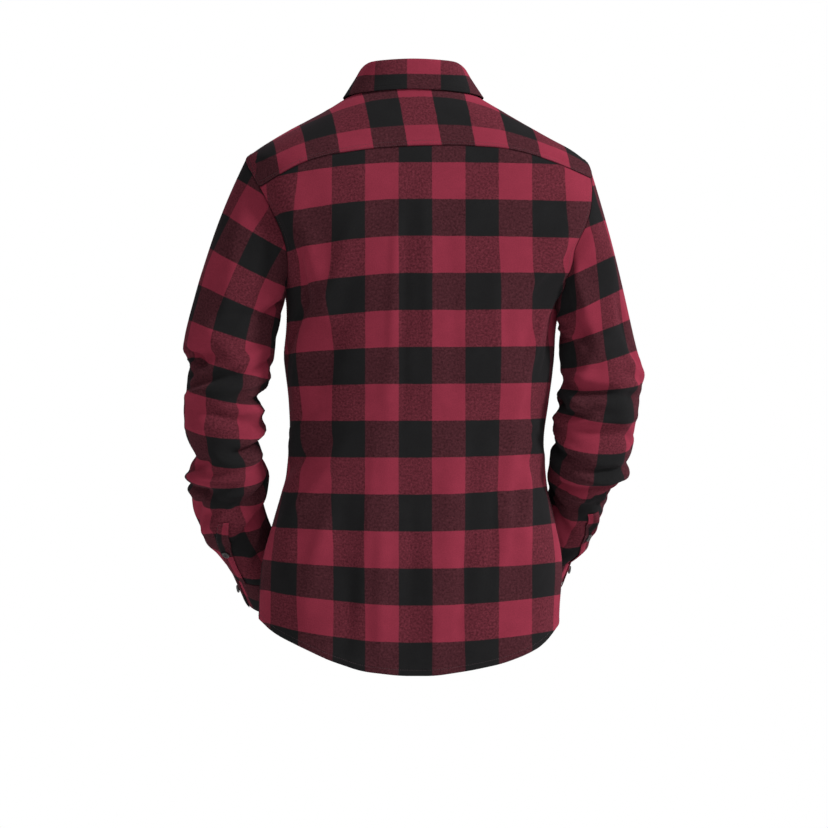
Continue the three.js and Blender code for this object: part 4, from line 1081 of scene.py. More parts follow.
# How far the check rows sit off level near the sides, by height, left and right
BACK_DROOP = [
    (-60, -12, -1),
    (-144, -15, -1),
    (-194, -17, -1),
    (-245, -18, 1),
    (-295, -16, 1.6),
    (-345, -8.5, 1.2),
    (-395, -3.5, 1.8),
    (-445, 0, 2.7),
    (-495, 0.7, 4.7),
    (-545, 2.2, 8),
    (-596, 3.6, 6.3),
    (-646, 7.1, 4.3),
    (-697, 14.8, 9.2),
    (-790, 18, 11),
]
FRONT_DROOP = [(-60, -10, -10), (-200, -14, -12), (-320, -6, -6), (-450, 2, 2), (-600, 6, 6), (-790, 12, 12)]

back_points, back_offsets = skin_of(back_grid)
back_uv = torso_uv(back_grid, BACK_DROOP) + np.array([-26.4, -94.5])
shell("back_cloth", back_points, back_offsets, back_uv, ("last", "start", "end"), raise_edges=("first",),
      lift=0.5, reach=8, stitched={"first": [8], "start": [6.5], "end": [6.5]})

# Height of the shoulders at places seen from above
def shoulder_height(x, y):
    def inside(z):
        place = place_falling(TORSO, 0, z)
        wide = np.where(x > 0, spline(TORSO, place, 1), spline(TORSO, place, 2))
        deep = np.where(y > 0, spline(TORSO, place, 3), spline(TORSO, place, 4))
        power = np.where(y > 0, BACK_POWER, FRONT_POWER)
        return (np.abs(x) / wide) ** power + (np.abs(y) / deep) ** power < 1
    return bisect(np.full(x.shape, -130.0), np.full(x.shape, 29.0), inside)


# Yoke cloth coordinates: lengths over the shoulder from the back seam, and along that seam
def yoke_cloth_uv(points):
    xs, ys = np.arange(-244, 245, 4.0), np.arange(132, -133, -2.0)
    x, y = np.meshgrid(xs, ys, indexing="ij")
    z = shoulder_height(x, y)
    over = np.hypot(2.0, np.diff(z, axis=1))
    run = np.concatenate([np.zeros((len(xs), 1)), np.cumsum(over, axis=1)], 1)
    seam_z = line_value(YOKE_SEAM, xs)
    at = np.array([np.argmax(row >= level) for row, level in zip(z, seam_z)])
    k = np.arange(len(xs))
    share = (seam_z - z[k, at - 1]) / np.maximum(z[k, at] - z[k, at - 1], 1e-6)
    start = run[k, at - 1] + share * (run[k, at] - run[k, at - 1])
    seam_y = ys[at - 1] - 2.0 * share
    run = run - start[:, None]
    along = np.concatenate([[0], np.cumsum(np.sqrt(16 + np.diff(seam_y) ** 2 + np.diff(seam_z) ** 2))])
    along = along - np.interp(0, xs, along)
    fx = np.clip((points[..., 0] + 244) / 4, 0, len(xs) - 1.001)
    fy = np.clip((132 - points[..., 1]) / 2, 0, len(ys) - 1.001)
    i, j = fx.astype(int), fy.astype(int)
    a, b = fx - i, fy - j
    up = mix(mix(run[i, j], run[i + 1, j], a), mix(run[i, j + 1], run[i + 1, j + 1], a), b)
    u = -np.interp(points[..., 0], xs, along)
    return np.stack([u + 0.15 * up + 7.1, 33 - up], -1)


yoke_points, yoke_offsets = skin_of(yoke_grid)
yoke_uv = yoke_cloth_uv(yoke_points)
shell("yoke_cloth", yoke_points, yoke_offsets, yoke_uv, ("first", "last", "start", "end"),
      raise_edges=("first",), lift=0.8, reach=9, stitched={"first": [2, 7.5], "start": [2, 7.5], "end": [2, 7.5]})

front_skins = {}
for name in ("left", "right"):
    points, offsets = skin_of(front_grids[name], name == "right")
    front_skins[name] = points, offsets
    uv = torso_uv(front_grids[name], FRONT_DROOP) + np.array([23.1, -94.5])
    shell(f"front_{name}_cloth", points, offsets, uv, ("last", "start"), raise_edges=("first",),
          lift=0.5, reach=8, stitched={"first": [8], "start": [6.5]})
    if name == "left":
        band_uv = uv[:, -2 * DETAIL - 1:]
band_points, band_offsets = (a[:, -2 * DETAIL - 1:] for a in front_skins["left"])
band_points = band_points + band_offsets * (CLOTH + LAY_GAP)
shell("placket_cloth", band_points, band_offsets, band_uv, ("last",), stitched={"start": [5], "end": [5]})

# Sleeves: where the bands cross the outer edge, height then cloth coordinate
SLEEVE_BAND_ROWS = {
    "left": [(-60, -50), (-112, 0), (-161, 50.1), (-210.5, 100.2), (-258.7, 150.3), (-307, 200.4),
             (-358.4, 250.5), (-402, 300.6), (-450, 350.7), (-488.5, 400.8), (-514, 450.9), (-543, 501),
             (-574, 551.1), (-604, 601.2), (-638, 651.3), (-700, 740)],
    "right": [(-60, -105), (-140, -25), (-240.6, 75.2), (-349, 200.4), (-393, 250.5), (-441, 300.6),
              (-478.5, 350.7), (-517, 400.8), (-532, 450.9), (-561, 501), (-600, 551.1), (-640, 601.2),
              (-700, 680)],
}
# Slope of the bands across the arm, by height
SLEEVE_SLOPE = {
    "left": [(-84, 0.5), (-180, 0.55), (-290, 0.4), (-380, 0.27), (-460, 0.12), (-520, 0)],
    "right": [(-84, 0.4), (-180, 0.42), (-290, 0.45), (-360, 0.3), (-430, -0.1), (-520, -0.15)],
}
SHOULDER_OUT = {"left": 234.0, "right": 262.0}
COLUMN_AT = {"left": 90.0, "right": 60.0}
HEAD_RADIUS = {"left": 84.0, "right": 88.0}


def falling(table, value):
    rows = np.array(table, float)
    return np.interp(-value, -rows[:, 0], rows[:, 1])


# Cloth coordinates of a sleeve, its columns kept to size down the arm
def sleeve_uv(name, share, turn, points):
    rows = SLEEVES[name]
    place = sleeve_place(name, np.maximum(share, 0) * SLEEVE_LENGTHS[name][-1])
    out, inn, deep = (spline(rows, place, k) for k in (1, 2, 4))
    tilt = np.radians(spline(rows, place, 5))
    sin = np.sin(np.radians(turn))
    head = share < 0
    axis_z = spline(rows, place, 0)
    axis_z = np.where(head, points[..., 2] + (1 + share) * deep * sin * np.sin(tilt), axis_z)
    edge = np.interp(-axis_z, [84, -rows[0][0]], [SHOULDER_OUT[name], rows[0][1]])
    edge = np.where(head, edge, out)
    dx = edge - np.abs(np.where(head, points[..., 0], 1.0 * (out + inn) / 2
                                + (out - inn) / 2 * np.cos(np.radians(turn))))
    v = falling(SLEEVE_BAND_ROWS[name], axis_z + falling(SLEEVE_SLOPE[name], axis_z) * dx)
    round_arm = mix(((out - inn) / 2 + deep) / 2, HEAD_RADIUS[name], np.maximum(-share, 0))
    u = np.radians(turn - COLUMN_AT[name]) * round_arm * (1 if name == "left" else -1)
    return np.stack([u + 1.5 * CHECK_W, v], -1)


sleeve_skins = {}
for name in ("left", "right"):
    turns = ARM_LISTS[name]
    low = int(np.argmin(np.abs(turns - 180)))
    turns = np.concatenate([turns[low:], turns[:low] + 360])
    shares = np.concatenate([np.linspace(-1, 0, HEAD_RINGS, endpoint=False),
                             np.linspace(0, 1, ARM_RINGS + 1)])
    closed = np.append(turns, 540.0)
    share_grid, turn_grid = np.meshgrid(shares, closed, indexing="ij")
    points = sleeve_point(name, share_grid, turn_grid)
    offsets = sleeve_normal(name, share_grid, turn_grid)
    offsets[0] = armhole_mitre(name, closed)
    uv = sleeve_uv(name, share_grid, turn_grid - 360, points)
    sleeve_skins[name] = points, offsets
    shell(f"sleeve_{name}_cloth", points[:, :-1], offsets[:, :-1], uv, ("first", "last"), wrap=True)

# Cuffs: a band that goes round once and laps over its own start
CUFF_LAP = 2 * DETAIL
CUFF_ROWS = 3 * DETAIL
cuff_skins = {}
for name in ("left", "right"):
    turns = ARM_LISTS[name]
    count = len(turns)
    ring = sleeve_point(name, np.ones(count), turns)
    middle = ring.mean(0)
    normals = sleeve_normal(name, np.ones(count), turns)
    j = np.arange(count + CUFF_LAP + 1)
    k = j % count
    arm = ring[k] - middle
    rows = []
    outs = []
    step = np.array(CUFFS[name], float)
    lap = (CLOTH + LAY_GAP) * smooth(count - 3 * DETAIL, count - 0.2 * DETAIL, j)
    for t in np.linspace(0, 1, CUFF_ROWS + 1):
        shape = arm * mix(1, CUFF_NARROW, t)
        normal = unit(shape)
        rows.append(middle + shape + step * (t + 0.009) + normal * lap[:, None])
        outs.append(normal)
    points, offsets = np.array(rows), np.array(outs)
    keep = j < count - 3 * DETAIL
    offsets[0, keep] = normals[k[keep]]
    cuff_skins[name] = points, offsets
    across = run_lengths(points, 1)
    down = run_lengths(points, 0)
    uv = np.stack([down + 10.0, across + 20.0], -1)
    shell(f"cuff_{name}_cloth", points, offsets, uv, ("first",),
          stitched={"first": [2], "last": [5], "end": [5]})

# Collar stand and leaf
left_row = front_grids["left"][-1, SHOULDER_ROWS:, 0]
right_row = front_grids["right"][-1, SHOULDER_ROWS:, 0] + 2 * math.pi
stand_turns = np.concatenate([left_row[::-1], yoke_turns[1:-1], right_row])
under_side = stand_turns > math.pi


def stand_grid(share):
    over = stand_point(stand_turns, share)
    below = stand_point(stand_turns, share, True)
    return np.where(under_side[:, None], below, over)


def stand_offset(share):
    over = stand_normal(stand_turns, share)
    below = stand_normal(stand_turns, share, True)
    return np.where(under_side[:, None], below, over)


STAND_ROWS = 3 * DETAIL
stand_points = np.array([stand_grid(s) for s in np.linspace(0, 1, STAND_ROWS + 1)])
stand_offsets = np.array([stand_offset(s) for s in np.linspace(0, 1, STAND_ROWS + 1)])
stand_offsets[0] = np.where(under_side[:, None], neck_mitre(stand_turns, True), neck_mitre(stand_turns))
stand_across = run_lengths(stand_points, 1)
stand_mid = stand_across[:, stand_across.shape[1] // 2][:, None]
stand_uv = np.stack([stand_across - stand_mid, -run_lengths(stand_points, 0)], -1)
shell("stand_cloth", stand_points, stand_offsets, stand_uv, ("first",))


def leaf_edge(turn):
    from_front = np.abs((turn + math.pi / 2 + math.pi) % (2 * math.pi) - math.pi)
    place = place_falling(LEAF_EDGE, 0, np.degrees(from_front))
    lies = np.radians(spline(LEAF_EDGE, place, 1)) - math.pi / 2
    z = spline(LEAF_EDGE, place, 2)
    at = np.where(np.cos(turn) >= 0, lies, math.pi - lies)
    return torso_point(at, z) + torso_normal(at, z) * LEAF_STANDOFF


LEAF_PROFILE = [
    (0.0, 0.8, 0.0),
    (0.5, 4.0, 0.0),
    (2.4, 6.2, 0.01),
    (4.8, 5.4, 0.06),
    (4.6, 3.3, 0.3),
    (2.6, 1.8, 0.65),
    (0.0, 0.0, 1.0),
]
inside = (stand_turns > math.radians(-89)) & (stand_turns < math.radians(269))
leaf_turns = np.concatenate([[math.radians(-88.6)], stand_turns[inside], [math.radians(268.6)]])
leaf_top = stand_point(leaf_turns, 1.0)
leaf_low = leaf_edge(leaf_turns)
places = np.concatenate([np.linspace(0, 3, 3 * DETAIL, endpoint=False), np.linspace(3, 6, 5 * DETAIL)])
leaf_points = []
for place in places:
    out, up, fall = (spline(LEAF_PROFILE, place, k) for k in range(3))
    spot = mix(leaf_top, leaf_low, fall)
    spot = spot + np.stack([np.cos(leaf_turns) * out, np.sin(leaf_turns) * out,
                            np.full(len(leaf_turns), up * (1 - fall))], -1)
    leaf_points.append(spot)
leaf_points = np.array(leaf_points)


def grid_normals(points):
    a = np.gradient(points, axis=1)
    b = np.gradient(points, axis=0)
    return unit(np.cross(a, b))


leaf_across = run_lengths(leaf_points, 1)
leaf_mid = leaf_across[:, leaf_across.shape[1] // 2][:, None]
leaf_down = run_lengths(leaf_points, 0)
leaf_uv = np.stack([leaf_across - leaf_mid + 8, leaf_down + 20], -1)
shell("collar_cloth", leaf_points, grid_normals(leaf_points), leaf_uv, (), thick=COLLAR_CLOTH,
      stitched={"last": [6], "start": [6], "end": [6]})

# Sleeve plackets: strips of the sleeve moved out
for name in ("left", "right"):
    top, low, start, half_width = SLEEVE_BANDS[name]
    rows = 6 * DETAIL
    s = np.linspace(0, 1, rows + 1)
    share = np.minimum(mix(round(start * 22) / 22, 1.0, s), 0.993)
    centre = mix(top, low, s)
    half = half_width / mix(50, 38, s) * (180 / math.pi)
    cols = np.linspace(-1, 1, 2 * DETAIL + 1)
    turn = centre[:, None] + cols[None, :] * half[:, None]
    share = np.broadcast_to(share[:, None], turn.shape)
    normal = sleeve_normal(name, share, turn)
    points = sleeve_point(name, share, turn) + normal * (CLOTH + LAY_GAP + 0.45)
    uv = np.stack([cols[None, :] * half_width + 0 * turn, run_lengths(points, 0) + 30], -1)
    shell(f"sleeve_placket_{name}_cloth", points, normal, uv, (),
          stitched={"first": [2], "start": [2], "end": [2]})


# Buttons: a rimmed disc with four holes, and the thread through them
BUTTON_RADIUS = 5.6
BUTTON_THICK = 2.4


def tube_along(path, radius, sides=6):
    path = np.array(path, float)
    verts, faces = [], []
    for i, p in enumerate(path):
        ahead = path[min(i + 1, len(path) - 1)] - path[max(i - 1, 0)]
        ahead = ahead / np.linalg.norm(ahead)
        side = np.cross(ahead, [0.3, 0.2, 0.93])
        side = side / np.linalg.norm(side)
        up = np.cross(ahead, side)
        for k in range(sides):
            a = 2 * math.pi * k / sides
            verts.append(p + radius * (math.cos(a) * side + math.sin(a) * up))
    for i in range(len(path) - 1):
        for k in range(sides):
            a, b = i * sides + k, i * sides + (k + 1) % sides
            faces.append([a, b, b + sides, a + sides])
    faces.append(list(range(sides))[::-1])
    faces.append([(len(path) - 1) * sides + k for k in range(sides)])
    return verts, faces


def mesh_of(name, verts, faces, soft=True):
    mesh = bpy.data.meshes.new(name)
    mesh.from_pydata([tuple(v) for v in verts], [], faces)
    mesh.validate()
    mesh.polygons.foreach_set("use_smooth", [soft] * len(mesh.polygons))
    mesh.update()
    return mesh


def button_mesh():
    from mathutils.geometry import delaunay_2d_cdt
    r, h, rim = BUTTON_RADIUS, BUTTON_THICK, 0.72
    sides, inner = 40, BUTTON_RADIUS * 0.66
    ring = [(inner * math.cos(2 * math.pi * k / sides), inner * math.sin(2 * math.pi * k / sides))
            for k in range(sides)]
    holes = []
    for cx, cy in ((1, 1), (-1, 1), (-1, -1), (1, -1)):
        holes.append([(1.15 * cx + 0.62 * math.cos(2 * math.pi * k / 10),
                       1.15 * cy + 0.62 * math.sin(2 * math.pi * k / 10)) for k in range(10)])
    flat = ring + [q for hole in holes for q in hole]
    loops, at = [list(range(sides))], sides
    for hole in holes:
        loops.append(list(range(at, at + len(hole))))
        at += len(hole)
    edges = [(a, b) for loop in loops for a, b in zip(loop, loop[1:] + loop[:1])]
    out = delaunay_2d_cdt([Vector(q) for q in flat], edges, [], 1, 1e-6)
    coords, tris = [tuple(q) for q in out[0]], out[2]
    keep = []
    for tri in tris:
        c = np.mean([coords[k] for k in tri], axis=0)
        if all(np.hypot(*(c - np.mean(hole, axis=0))) > 0.55 for hole in holes):
            keep.append(list(tri))
    verts = [(x, y, h * rim) for x, y in coords] + [(x, y, 0.25) for x, y in coords]
    count = len(coords)
    faces = keep + [[k + count for k in tri[::-1]] for tri in keep]
    for loop in loops[1:]:
        for a, b in zip(loop, loop[1:] + loop[:1]):
            faces.append([b, a, a + count, b + count])
    profile = [(0.7, 0.74), (0.76, 0.92), (0.84, 1.0), (0.93, 0.94), (0.985, 0.75), (1.0, 0.5),
               (0.97, 0.2), (0.88, 0.03), (0.76, 0.0), (0.7, 0.04)]
    start = len(verts)
    for share, high in profile:
        for k in range(sides):
            a = 2 * math.pi * k / sides
            verts.append((r * share * math.cos(a), r * share * math.sin(a), h * high))
    rows = [list(range(sides))] + [[start + i * sides + k for k in range(sides)]
                                   for i in range(len(profile))] + [[k + count for k in range(sides)]]
    for lower, upper in zip(rows, rows[1:]):
        for k in range(sides):
            m = (k + 1) % sides
            faces.append([lower[k], upper[k], upper[m], lower[m]])
    return mesh_of("button", np.array(verts) / 1000, faces)


def thread_mesh():
    verts, faces = [], []
    for side in (-1, 1):
        for off in (-0.22, 0.22):
            path = [(1.15 * s, side * 1.15 + off, z) for s, z in
                    ((-1, 0.4), (-0.98, 1.7), (-0.6, 2.05), (0, 2.15), (0.6, 2.05), (0.98, 1.7), (1, 0.4))]
            v, f = tube_along(path, 0.2)
            faces += [[k + len(verts) for k in face] for face in f]
            verts += v
    return mesh_of("button_thread", np.array(verts) / 1000, faces)


BUTTON_MESH, THREAD_MESH = button_mesh(), thread_mesh()
BUTTONS, THREADS = [], []


def put_button(name, centre, normal):
    turn = Vector(normal).to_track_quat("Z", "Y")
    for mesh, label, group in ((BUTTON_MESH, name + "_disc", BUTTONS), (THREAD_MESH, name + "_thread", THREADS)):
        obj = bpy.data.objects.new(label, mesh)
        bpy.context.scene.collection.objects.link(obj)
        obj.rotation_mode = "QUATERNION"
        obj.rotation_quaternion = turn
        obj.location = Vector(centre) / 1000
        group.append((obj, name))


BAND_TOP = CLOTH / 2 + LAY_GAP + CLOTH + 0.05
for i, z in enumerate(FRONT_BUTTON_HEIGHTS):
    turn = front_turn(np.array(float(z)), 0)
    normal = torso_normal(turn, float(z))
    put_button(f"button_front_{i + 1}", torso_point(turn, float(z)) + normal * BAND_TOP, normal)
collar_turn = np.array(neck_turn_at_x(0))
collar_normal = stand_normal(collar_turn, 0.5)
put_button("button_collar", stand_point(collar_turn, 0.42) + collar_normal * (CLOTH / 2 + 0.1), collar_normal)
for name in ("left", "right"):
    top, low, start, half_width = SLEEVE_BANDS[name]
    share, turn = mix(start, 1, SLEEVE_BUTTON_AT), mix(top, low, SLEEVE_BUTTON_AT)
    normal = sleeve_normal(name, share, np.array(float(turn)))
    lift = CLOTH / 2 + LAY_GAP + 0.45 + CLOTH + 0.1
    centre = sleeve_point(name, share, np.array(float(turn))) + normal * lift
    put_button(f"button_sleeve_{name}", centre, normal)
    points, offsets = cuff_skins[name]
    lap = points.shape[1] - 1 - DETAIL
    row = points.shape[0] // 2
    put_button(f"button_cuff_{name}", points[row, lap] + offsets[row, lap] * (CLOTH / 2 + 0.4), offsets[row, lap])


# Stitches: short threads along each stitched line
STITCH_LONG = 2.3
STITCH_STEP = 3.1


# Line on a grid at a distance from one edge, with the normals there
def inset_line(skin, edge, inset):
    outer, offsets = skin["outer"], unit(skin["offsets"])
    if edge in ("start", "end"):
        outer, offsets = outer.transpose(1, 0, 2), offsets.transpose(1, 0, 2)
    if edge in ("last", "end"):
        outer, offsets = outer[::-1], offsets[::-1]
    down = run_lengths(outer, 0)
    i = np.clip((down < inset).sum(0) - 1, 0, len(outer) - 2)
    k = np.arange(outer.shape[1])
    t = ((inset - down[i, k]) / (down[i + 1, k] - down[i, k]))[:, None]
    line = outer[i, k] * (1 - t) + outer[i + 1, k] * t
    out = unit(offsets[i, k] * (1 - t) + offsets[i + 1, k] * t)
    return line[2:-2], out[2:-2]


def stitches(name, lines):
    verts, faces = [], []
    count = 0
    for line, out in lines:
        run = np.concatenate([[0], np.cumsum(np.linalg.norm(np.diff(line, axis=0), axis=1))])
        at = np.arange(STITCH_STEP, run[-1] - STITCH_STEP, STITCH_STEP)
        if not len(at):
            continue
        centre = np.stack([np.interp(at, run, line[:, k]) for k in range(3)], -1)
        ahead = np.stack([np.interp(at + 1, run, line[:, k]) for k in range(3)], -1) - centre
        ahead = unit(ahead)
        up = np.stack([np.interp(at, run, out[:, k]) for k in range(3)], -1)
        side = unit(np.cross(ahead, up))
        up = np.cross(side, ahead)
        for along, radius, lift in ((-0.5, 0.12, -0.16), (0.0, 0.3, 0.1), (0.5, 0.12, -0.16)):
            for s, u in ((1, 0), (0, 1), (-1, 0), (0, -1)):
                verts.append(centre + ahead * (along * STITCH_LONG) + side * (s * radius)
                             + up * (u * radius * 0.8 + lift))
        n = len(at)
        ring = count + np.arange(n)
        for r in range(2):
            for k in range(4):
                m = (k + 1) % 4
                a, b = r * 4 + k, r * 4 + m
                faces.append(np.stack([ring + a * n, ring + b * n, ring + (b + 4) * n, ring + (a + 4) * n], -1))
        faces.append(np.stack([ring + k * n for k in (3, 2, 1, 0)], -1))
        faces.append(np.stack([ring + k * n for k in (8, 9, 10, 11)], -1))
        count += 12 * n
    mesh = mesh_of(name, np.concatenate(verts) / 1000, np.concatenate(faces).tolist())
    obj = bpy.data.objects.new(name, mesh)
    bpy.context.scene.collection.objects.link(obj)
    return obj


STITCHED = []
for piece, skin in SKINS.items():
    lines = [inset_line(skin, edge, inset) for edge, insets in skin["stitched"].items() for inset in insets]
    if lines:
        STITCHED.append(stitches(piece.replace("_cloth", "_stitches"), lines))

# Materials, all procedural
def new_material(name):
    material = bpy.data.materials.new(name)
    material.use_nodes = True
    nodes, links = material.node_tree.nodes, material.node_tree.links
    nodes.clear()
    out = nodes.new("ShaderNodeOutputMaterial")
    shader = nodes.new("ShaderNodeBsdfPrincipled")
    links.new(shader.outputs[0], out.inputs[0])
    return material, nodes, links, shader


def linear(r, g, b):
    def one(v):
        v /= 255
        return v / 12.92 if v <= 0.04045 else ((v + 0.055) / 1.055) ** 2.4
    return one(r), one(g), one(b), 1.0


def node_maths(nodes, links):
    def put(socket, value):
        if hasattr(value, "is_output"):
            links.new(value, socket)
        else:
            socket.default_value = value

    def maths(kind, a, b=None, c=None, clamp=False):
        node = nodes.new("ShaderNodeMath")
        node.operation, node.use_clamp = kind, clamp
        for socket, value in zip(node.inputs, (a, b, c)):
            if value is not None:
                put(socket, value)
        return node.outputs[0]

    return put, maths


RED = linear(100, 33, 46)
BLACK = linear(22, 22, 22.5)
SHEEN = linear(130, 105, 115)


def check_material(name, row_mix, column_mix):
    material, nodes, links, shader = new_material(name)
    put, maths = node_maths(nodes, links)
    uv = nodes.new("ShaderNodeUVMap")
    uv.uv_map = "cloth"

    def noise(scale, detail=2.0, rough=0.5):
        node = nodes.new("ShaderNodeTexNoise")
        node.inputs["Scale"].default_value = scale
        node.inputs["Detail"].default_value = detail
        node.inputs["Roughness"].default_value = rough
        links.new(uv.outputs[0], node.inputs["Vector"])
        return node.outputs[0]

    split = nodes.new("ShaderNodeSeparateXYZ")
    links.new(uv.outputs[0], split.inputs[0])
    wander = maths("MULTIPLY", maths("SUBTRACT", noise(38), 0.5), 0.0016)
    fuzz = maths("MULTIPLY", maths("SUBTRACT", noise(900, 1.0), 0.5), 0.0011)
    shift = maths("ADD", wander, fuzz)

    def stripes(coord, half):
        at = maths("ADD", coord, shift)
        wave = maths("SINE", maths("MULTIPLY", at, math.pi / (half / 1000)))
        return maths("ADD", maths("MULTIPLY", wave, 16.0), 0.5, clamp=True)

    column = stripes(split.outputs[0], CHECK_W)
    row = stripes(split.outputs[1], CHECK_H)
    only_row = maths("MULTIPLY", row, maths("SUBTRACT", 1.0, column))
    only_column = maths("MULTIPLY", column, maths("SUBTRACT", 1.0, row))
    both = maths("MULTIPLY", row, column)

    # Twill: fine slanted lines, strongest where the two colours cross
    slant = maths("ADD", maths("MULTIPLY", split.outputs[0], 0.8), split.outputs[1])
    twill = maths("SINE", maths("MULTIPLY", slant, 2 * math.pi / 0.0014))
    broken = maths("MULTIPLY", twill, maths("ADD", 0.4, noise(1400, 1.0)))
    row_part = maths("MULTIPLY", only_row, maths("MULTIPLY_ADD", broken, 0.10, row_mix))
    column_part = maths("MULTIPLY", only_column, maths("MULTIPLY_ADD", broken, 0.07, column_mix))
    redness = maths("ADD", both, maths("ADD", row_part, column_part), clamp=True)
    tone = nodes.new("ShaderNodeMix")
    tone.data_type = "RGBA"
    tone.inputs[6].default_value = BLACK
    tone.inputs[7].default_value = RED
    links.new(redness, tone.inputs[0])

    # Heather flecks, strongest where the colours cross, and slow unevenness of the nap
    mixed = maths("ADD", only_row, only_column)
    fine = maths("MULTIPLY_ADD", maths("SUBTRACT", noise(750, 2.0, 0.7), 0.5), 0.6, 1.0)
    coarse = maths("MULTIPLY", maths("SUBTRACT", noise(330, 3.0, 0.75), 0.5), maths("MULTIPLY_ADD", mixed, 2.4, 0.2))
    fleck = maths("ADD", fine, coarse)
    patchy = maths("MULTIPLY_ADD", maths("SUBTRACT", noise(26, 3.0, 0.6), 0.5), 0.34, 1.0)
    # Painted shade: the base colour is darkened by up to half within about 2.4 mm of each sewn edge, standing in for
    # the shade along the seams
    seam = nodes.new("ShaderNodeAttribute")
    seam.attribute_name = "seam"
    gap = maths("ABSOLUTE", maths("SUBTRACT", seam.outputs[2], 0.0))
    seam_shade_mask = maths("SUBTRACT", 1.0, maths("MULTIPLY", gap, 420.0), clamp=True)
    painted_seam_shade = maths("MULTIPLY_ADD", seam_shade_mask, -0.5, 1.0)
    value = maths("MULTIPLY", maths("MULTIPLY", fleck, patchy), painted_seam_shade)
    scale = nodes.new("ShaderNodeVectorMath")
    scale.operation = "SCALE"
    links.new(tone.outputs[2], scale.inputs[0])
    links.new(value, scale.inputs[3])
    links.new(scale.outputs[0], shader.inputs["Base Color"])
    shader.inputs["Roughness"].default_value = 0.92
    shader.inputs["Specular IOR Level"].default_value = 0.0
    shader.inputs["Diffuse Roughness"].default_value = 0.6
    shader.inputs["Sheen Weight"].default_value = 0.05
    shader.inputs["Sheen Roughness"].default_value = 0.45
    shader.inputs["Sheen Tint"].default_value = SHEEN

    # Height: nap, twill, the pinch of each stitched line and small puckers beside it
    nap = maths("MULTIPLY", noise(520, 3.0, 0.65), 0.00022)
    rib = maths("MULTIPLY", broken, 0.00003)
    stitch = nodes.new("ShaderNodeAttribute")
    stitch.attribute_name = "stitch"
    away = maths("ABSOLUTE", stitch.outputs[2])
    pinch = maths("SUBTRACT", 1.0, maths("MULTIPLY", away, 600.0), clamp=True)
    near = maths("SUBTRACT", 1.0, maths("MULTIPLY", away, 120.0), clamp=True)
    pucker = maths("MULTIPLY", maths("MULTIPLY", noise(95, 1.0), near), 0.0016)
    height = maths("ADD", maths("ADD", nap, rib), maths("MULTIPLY_ADD", pinch, -0.0005, pucker))
    bump = nodes.new("ShaderNodeBump")
    bump.inputs["Strength"].default_value = 0.7
    bump.inputs["Distance"].default_value = 1.0
    links.new(height, bump.inputs["Height"])
    links.new(bump.outputs[0], shader.inputs["Normal"])
    return material


CHECK = check_material("check_flannel", 0.43, 0.21)
CHECK_TURNED = check_material("check_flannel_turned", 0.21, 0.43)


def plain_material(name, colour, rough, spread):
    material, nodes, links, shader = new_material(name)
    put, maths = node_maths(nodes, links)
    where = nodes.new("ShaderNodeTexCoord")
    noise = nodes.new("ShaderNodeTexNoise")
    noise.inputs["Scale"].default_value = 700
    links.new(where.outputs["Object"], noise.inputs["Vector"])
    value = maths("MULTIPLY_ADD", maths("SUBTRACT", noise.outputs[0], 0.5), spread, 1.0)
    scale = nodes.new("ShaderNodeVectorMath")
    scale.operation = "SCALE"
    scale.inputs[0].default_value = colour[:3]
    links.new(value, scale.inputs[3])
    links.new(scale.outputs[0], shader.inputs["Base Color"])
    shader.inputs["Roughness"].default_value = rough
    shader.inputs["Specular IOR Level"].default_value = 0.3
    return material


BUTTON_PLASTIC = plain_material("button_plastic", linear(22, 19, 20), 0.5, 0.25)
THREAD = plain_material("dark_thread", linear(44, 30, 34), 0.8, 0.5)

# Which piece stands for which node, its flat cut in metres and how it is held
PIECES = [
    ("back_cloth", "back", CHECK),
    ("yoke_cloth", "yoke", CHECK_TURNED),
    ("front_left_cloth", "front_left", CHECK),
    ("front_right_cloth", "front_right", CHECK),
    ("placket_cloth", "front_placket", CHECK),
    ("sleeve_left_cloth", "sleeve_left", CHECK),
    ("sleeve_right_cloth", "sleeve_right", CHECK),
    ("cuff_left_cloth", "cuff_left", CHECK),
    ("cuff_right_cloth", "cuff_right", CHECK),
    ("stand_cloth", "collar_stand", CHECK),
    ("collar_cloth", "collar_leaf", CHECK),
    ("sleeve_placket_left_cloth", "sleeve_placket_left", CHECK),
    ("sleeve_placket_right_cloth", "sleeve_placket_right", CHECK),
]


def flat_size(points, wrap):
    loop = np.concatenate([points, points[:, :1]], 1) if wrap else points
    wide = run_lengths(loop, 1)[:, -1].max() / 1000
    long = run_lengths(points, 0)[-1].max() / 1000
    return round(float(wide), 3), round(float(long), 3)


flats = {}
for piece, node, material in PIECES:
    skin = SKINS[piece]
    obj = skin["obj"]
    obj.data.materials.append(material)
    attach(obj, "root")
    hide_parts(node)
    wrap = node in ("sleeve_left", "sleeve_right")
    flat = flat_size(skin["points"], wrap)
    area = min(skin["area"], 0.999 * flat[0] * flat[1])
    flats[piece] = (flat, round(area, 4))

for obj, node in BUTTONS:
    if not obj.data.materials:
        obj.data.materials.append(BUTTON_PLASTIC)
    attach(obj, "root")
    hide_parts(node)
for obj, node in THREADS:
    if not obj.data.materials:
        obj.data.materials.append(THREAD)
    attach(obj, "root")

for obj in STITCHED:
    obj.data.materials.append(THREAD)
    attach(obj, "root")

# Floor, light and camera
FLOOR = -1.45


def plane(name, size, location, rotation=(0, 0, 0)):
    s = size / 2
    mesh = mesh_of(name, [(-s, -s, 0), (s, -s, 0), (s, s, 0), (-s, s, 0)], [[0, 1, 2, 3]], False)
    obj = bpy.data.objects.new(name, mesh)
    obj.location, obj.rotation_euler = location, rotation
    bpy.context.scene.collection.objects.link(obj)
    return obj


floor = plane("floor", 6, (0, 0, FLOOR))
floor_material, nodes, links, shader = new_material("floor_paint")
shader.inputs["Base Color"].default_value = (0.86, 0.86, 0.86, 1)
shader.inputs["Roughness"].default_value = 0.9
floor.data.materials.append(floor_material)


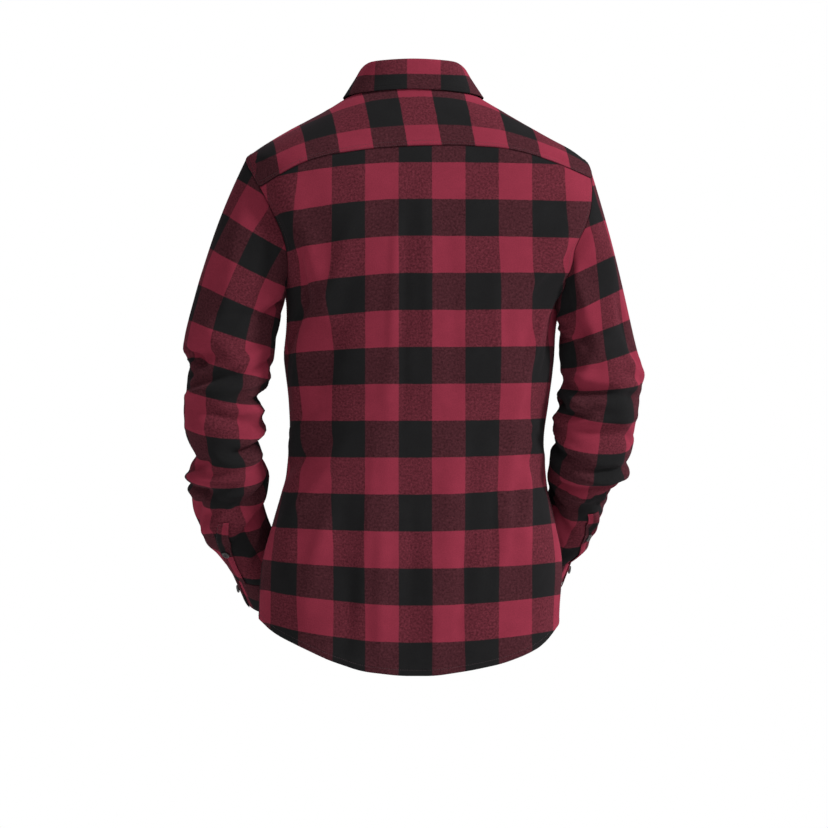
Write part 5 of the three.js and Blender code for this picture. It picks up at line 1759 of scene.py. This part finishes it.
def area_light(name, location, target, size, power, colour=(1, 1, 1)):
    data = bpy.data.lights.new(name, "AREA")
    data.shape, data.size, data.energy, data.color = "DISK", size, power, colour
    obj = bpy.data.objects.new(name, data)
    obj.location = location
    obj.rotation_euler = (Vector(target) - Vector(location)).to_track_quat("-Z", "Y").to_euler()
    bpy.context.scene.collection.objects.link(obj)
    return obj


CENTRE = (0, 0, -0.42)
SKY_BASE = 0.24
SKY_GLOW = 1.6
area_light("key", (-3.1, 2.0, 2.1), CENTRE, 0.8, 340)
area_light("fill", (2.8, 2.0, 0.2), CENTRE, 2.0, 14)
area_light("front_fill", (1.6, -3.0, 1.1), CENTRE, 1.6, 110)

# White surroundings up to eye level, dimmer above, brighter towards the key light
world = bpy.data.worlds.new("studio")
world.use_nodes = True
nodes, links = world.node_tree.nodes, world.node_tree.links
put, maths = node_maths(nodes, links)
where = nodes.new("ShaderNodeTexCoord")
along = nodes.new("ShaderNodeVectorMath")
along.operation = "DOT_PRODUCT"
along.inputs[1].default_value = (-0.46, 0.6, 0.65)
links.new(where.outputs["Generated"], along.inputs[0])
glow = maths("POWER", maths("MAXIMUM", along.outputs["Value"], 0.0), 2.0)
split = nodes.new("ShaderNodeSeparateXYZ")
links.new(where.outputs["Generated"], split.inputs[0])
level = maths("SUBTRACT", 1.0, maths("MULTIPLY", maths("SUBTRACT", split.outputs[2], 0.1), 6.0), clamp=True)
sky = maths("MULTIPLY_ADD", glow, SKY_GLOW, SKY_BASE)
put(nodes["Background"].inputs[1], maths("MAXIMUM", level, sky))
nodes["Background"].inputs[0].default_value = (1, 1, 1, 1)
bpy.context.scene.world = world

DISTANCE = 9.0
camera = bpy.data.cameras.new("camera")
camera.sensor_width = 36
camera.lens = 36 * DISTANCE / 1.139
eye = bpy.data.objects.new("camera", camera)
eye.location = (-0.0014, DISTANCE, -0.436)
eye.rotation_euler = (math.radians(90), 0, math.radians(180))
bpy.context.scene.collection.objects.link(eye)
bpy.context.scene.camera = eye
bpy.context.scene.view_settings.view_transform = "Standard"
bpy.context.scene.view_settings.look = "None"
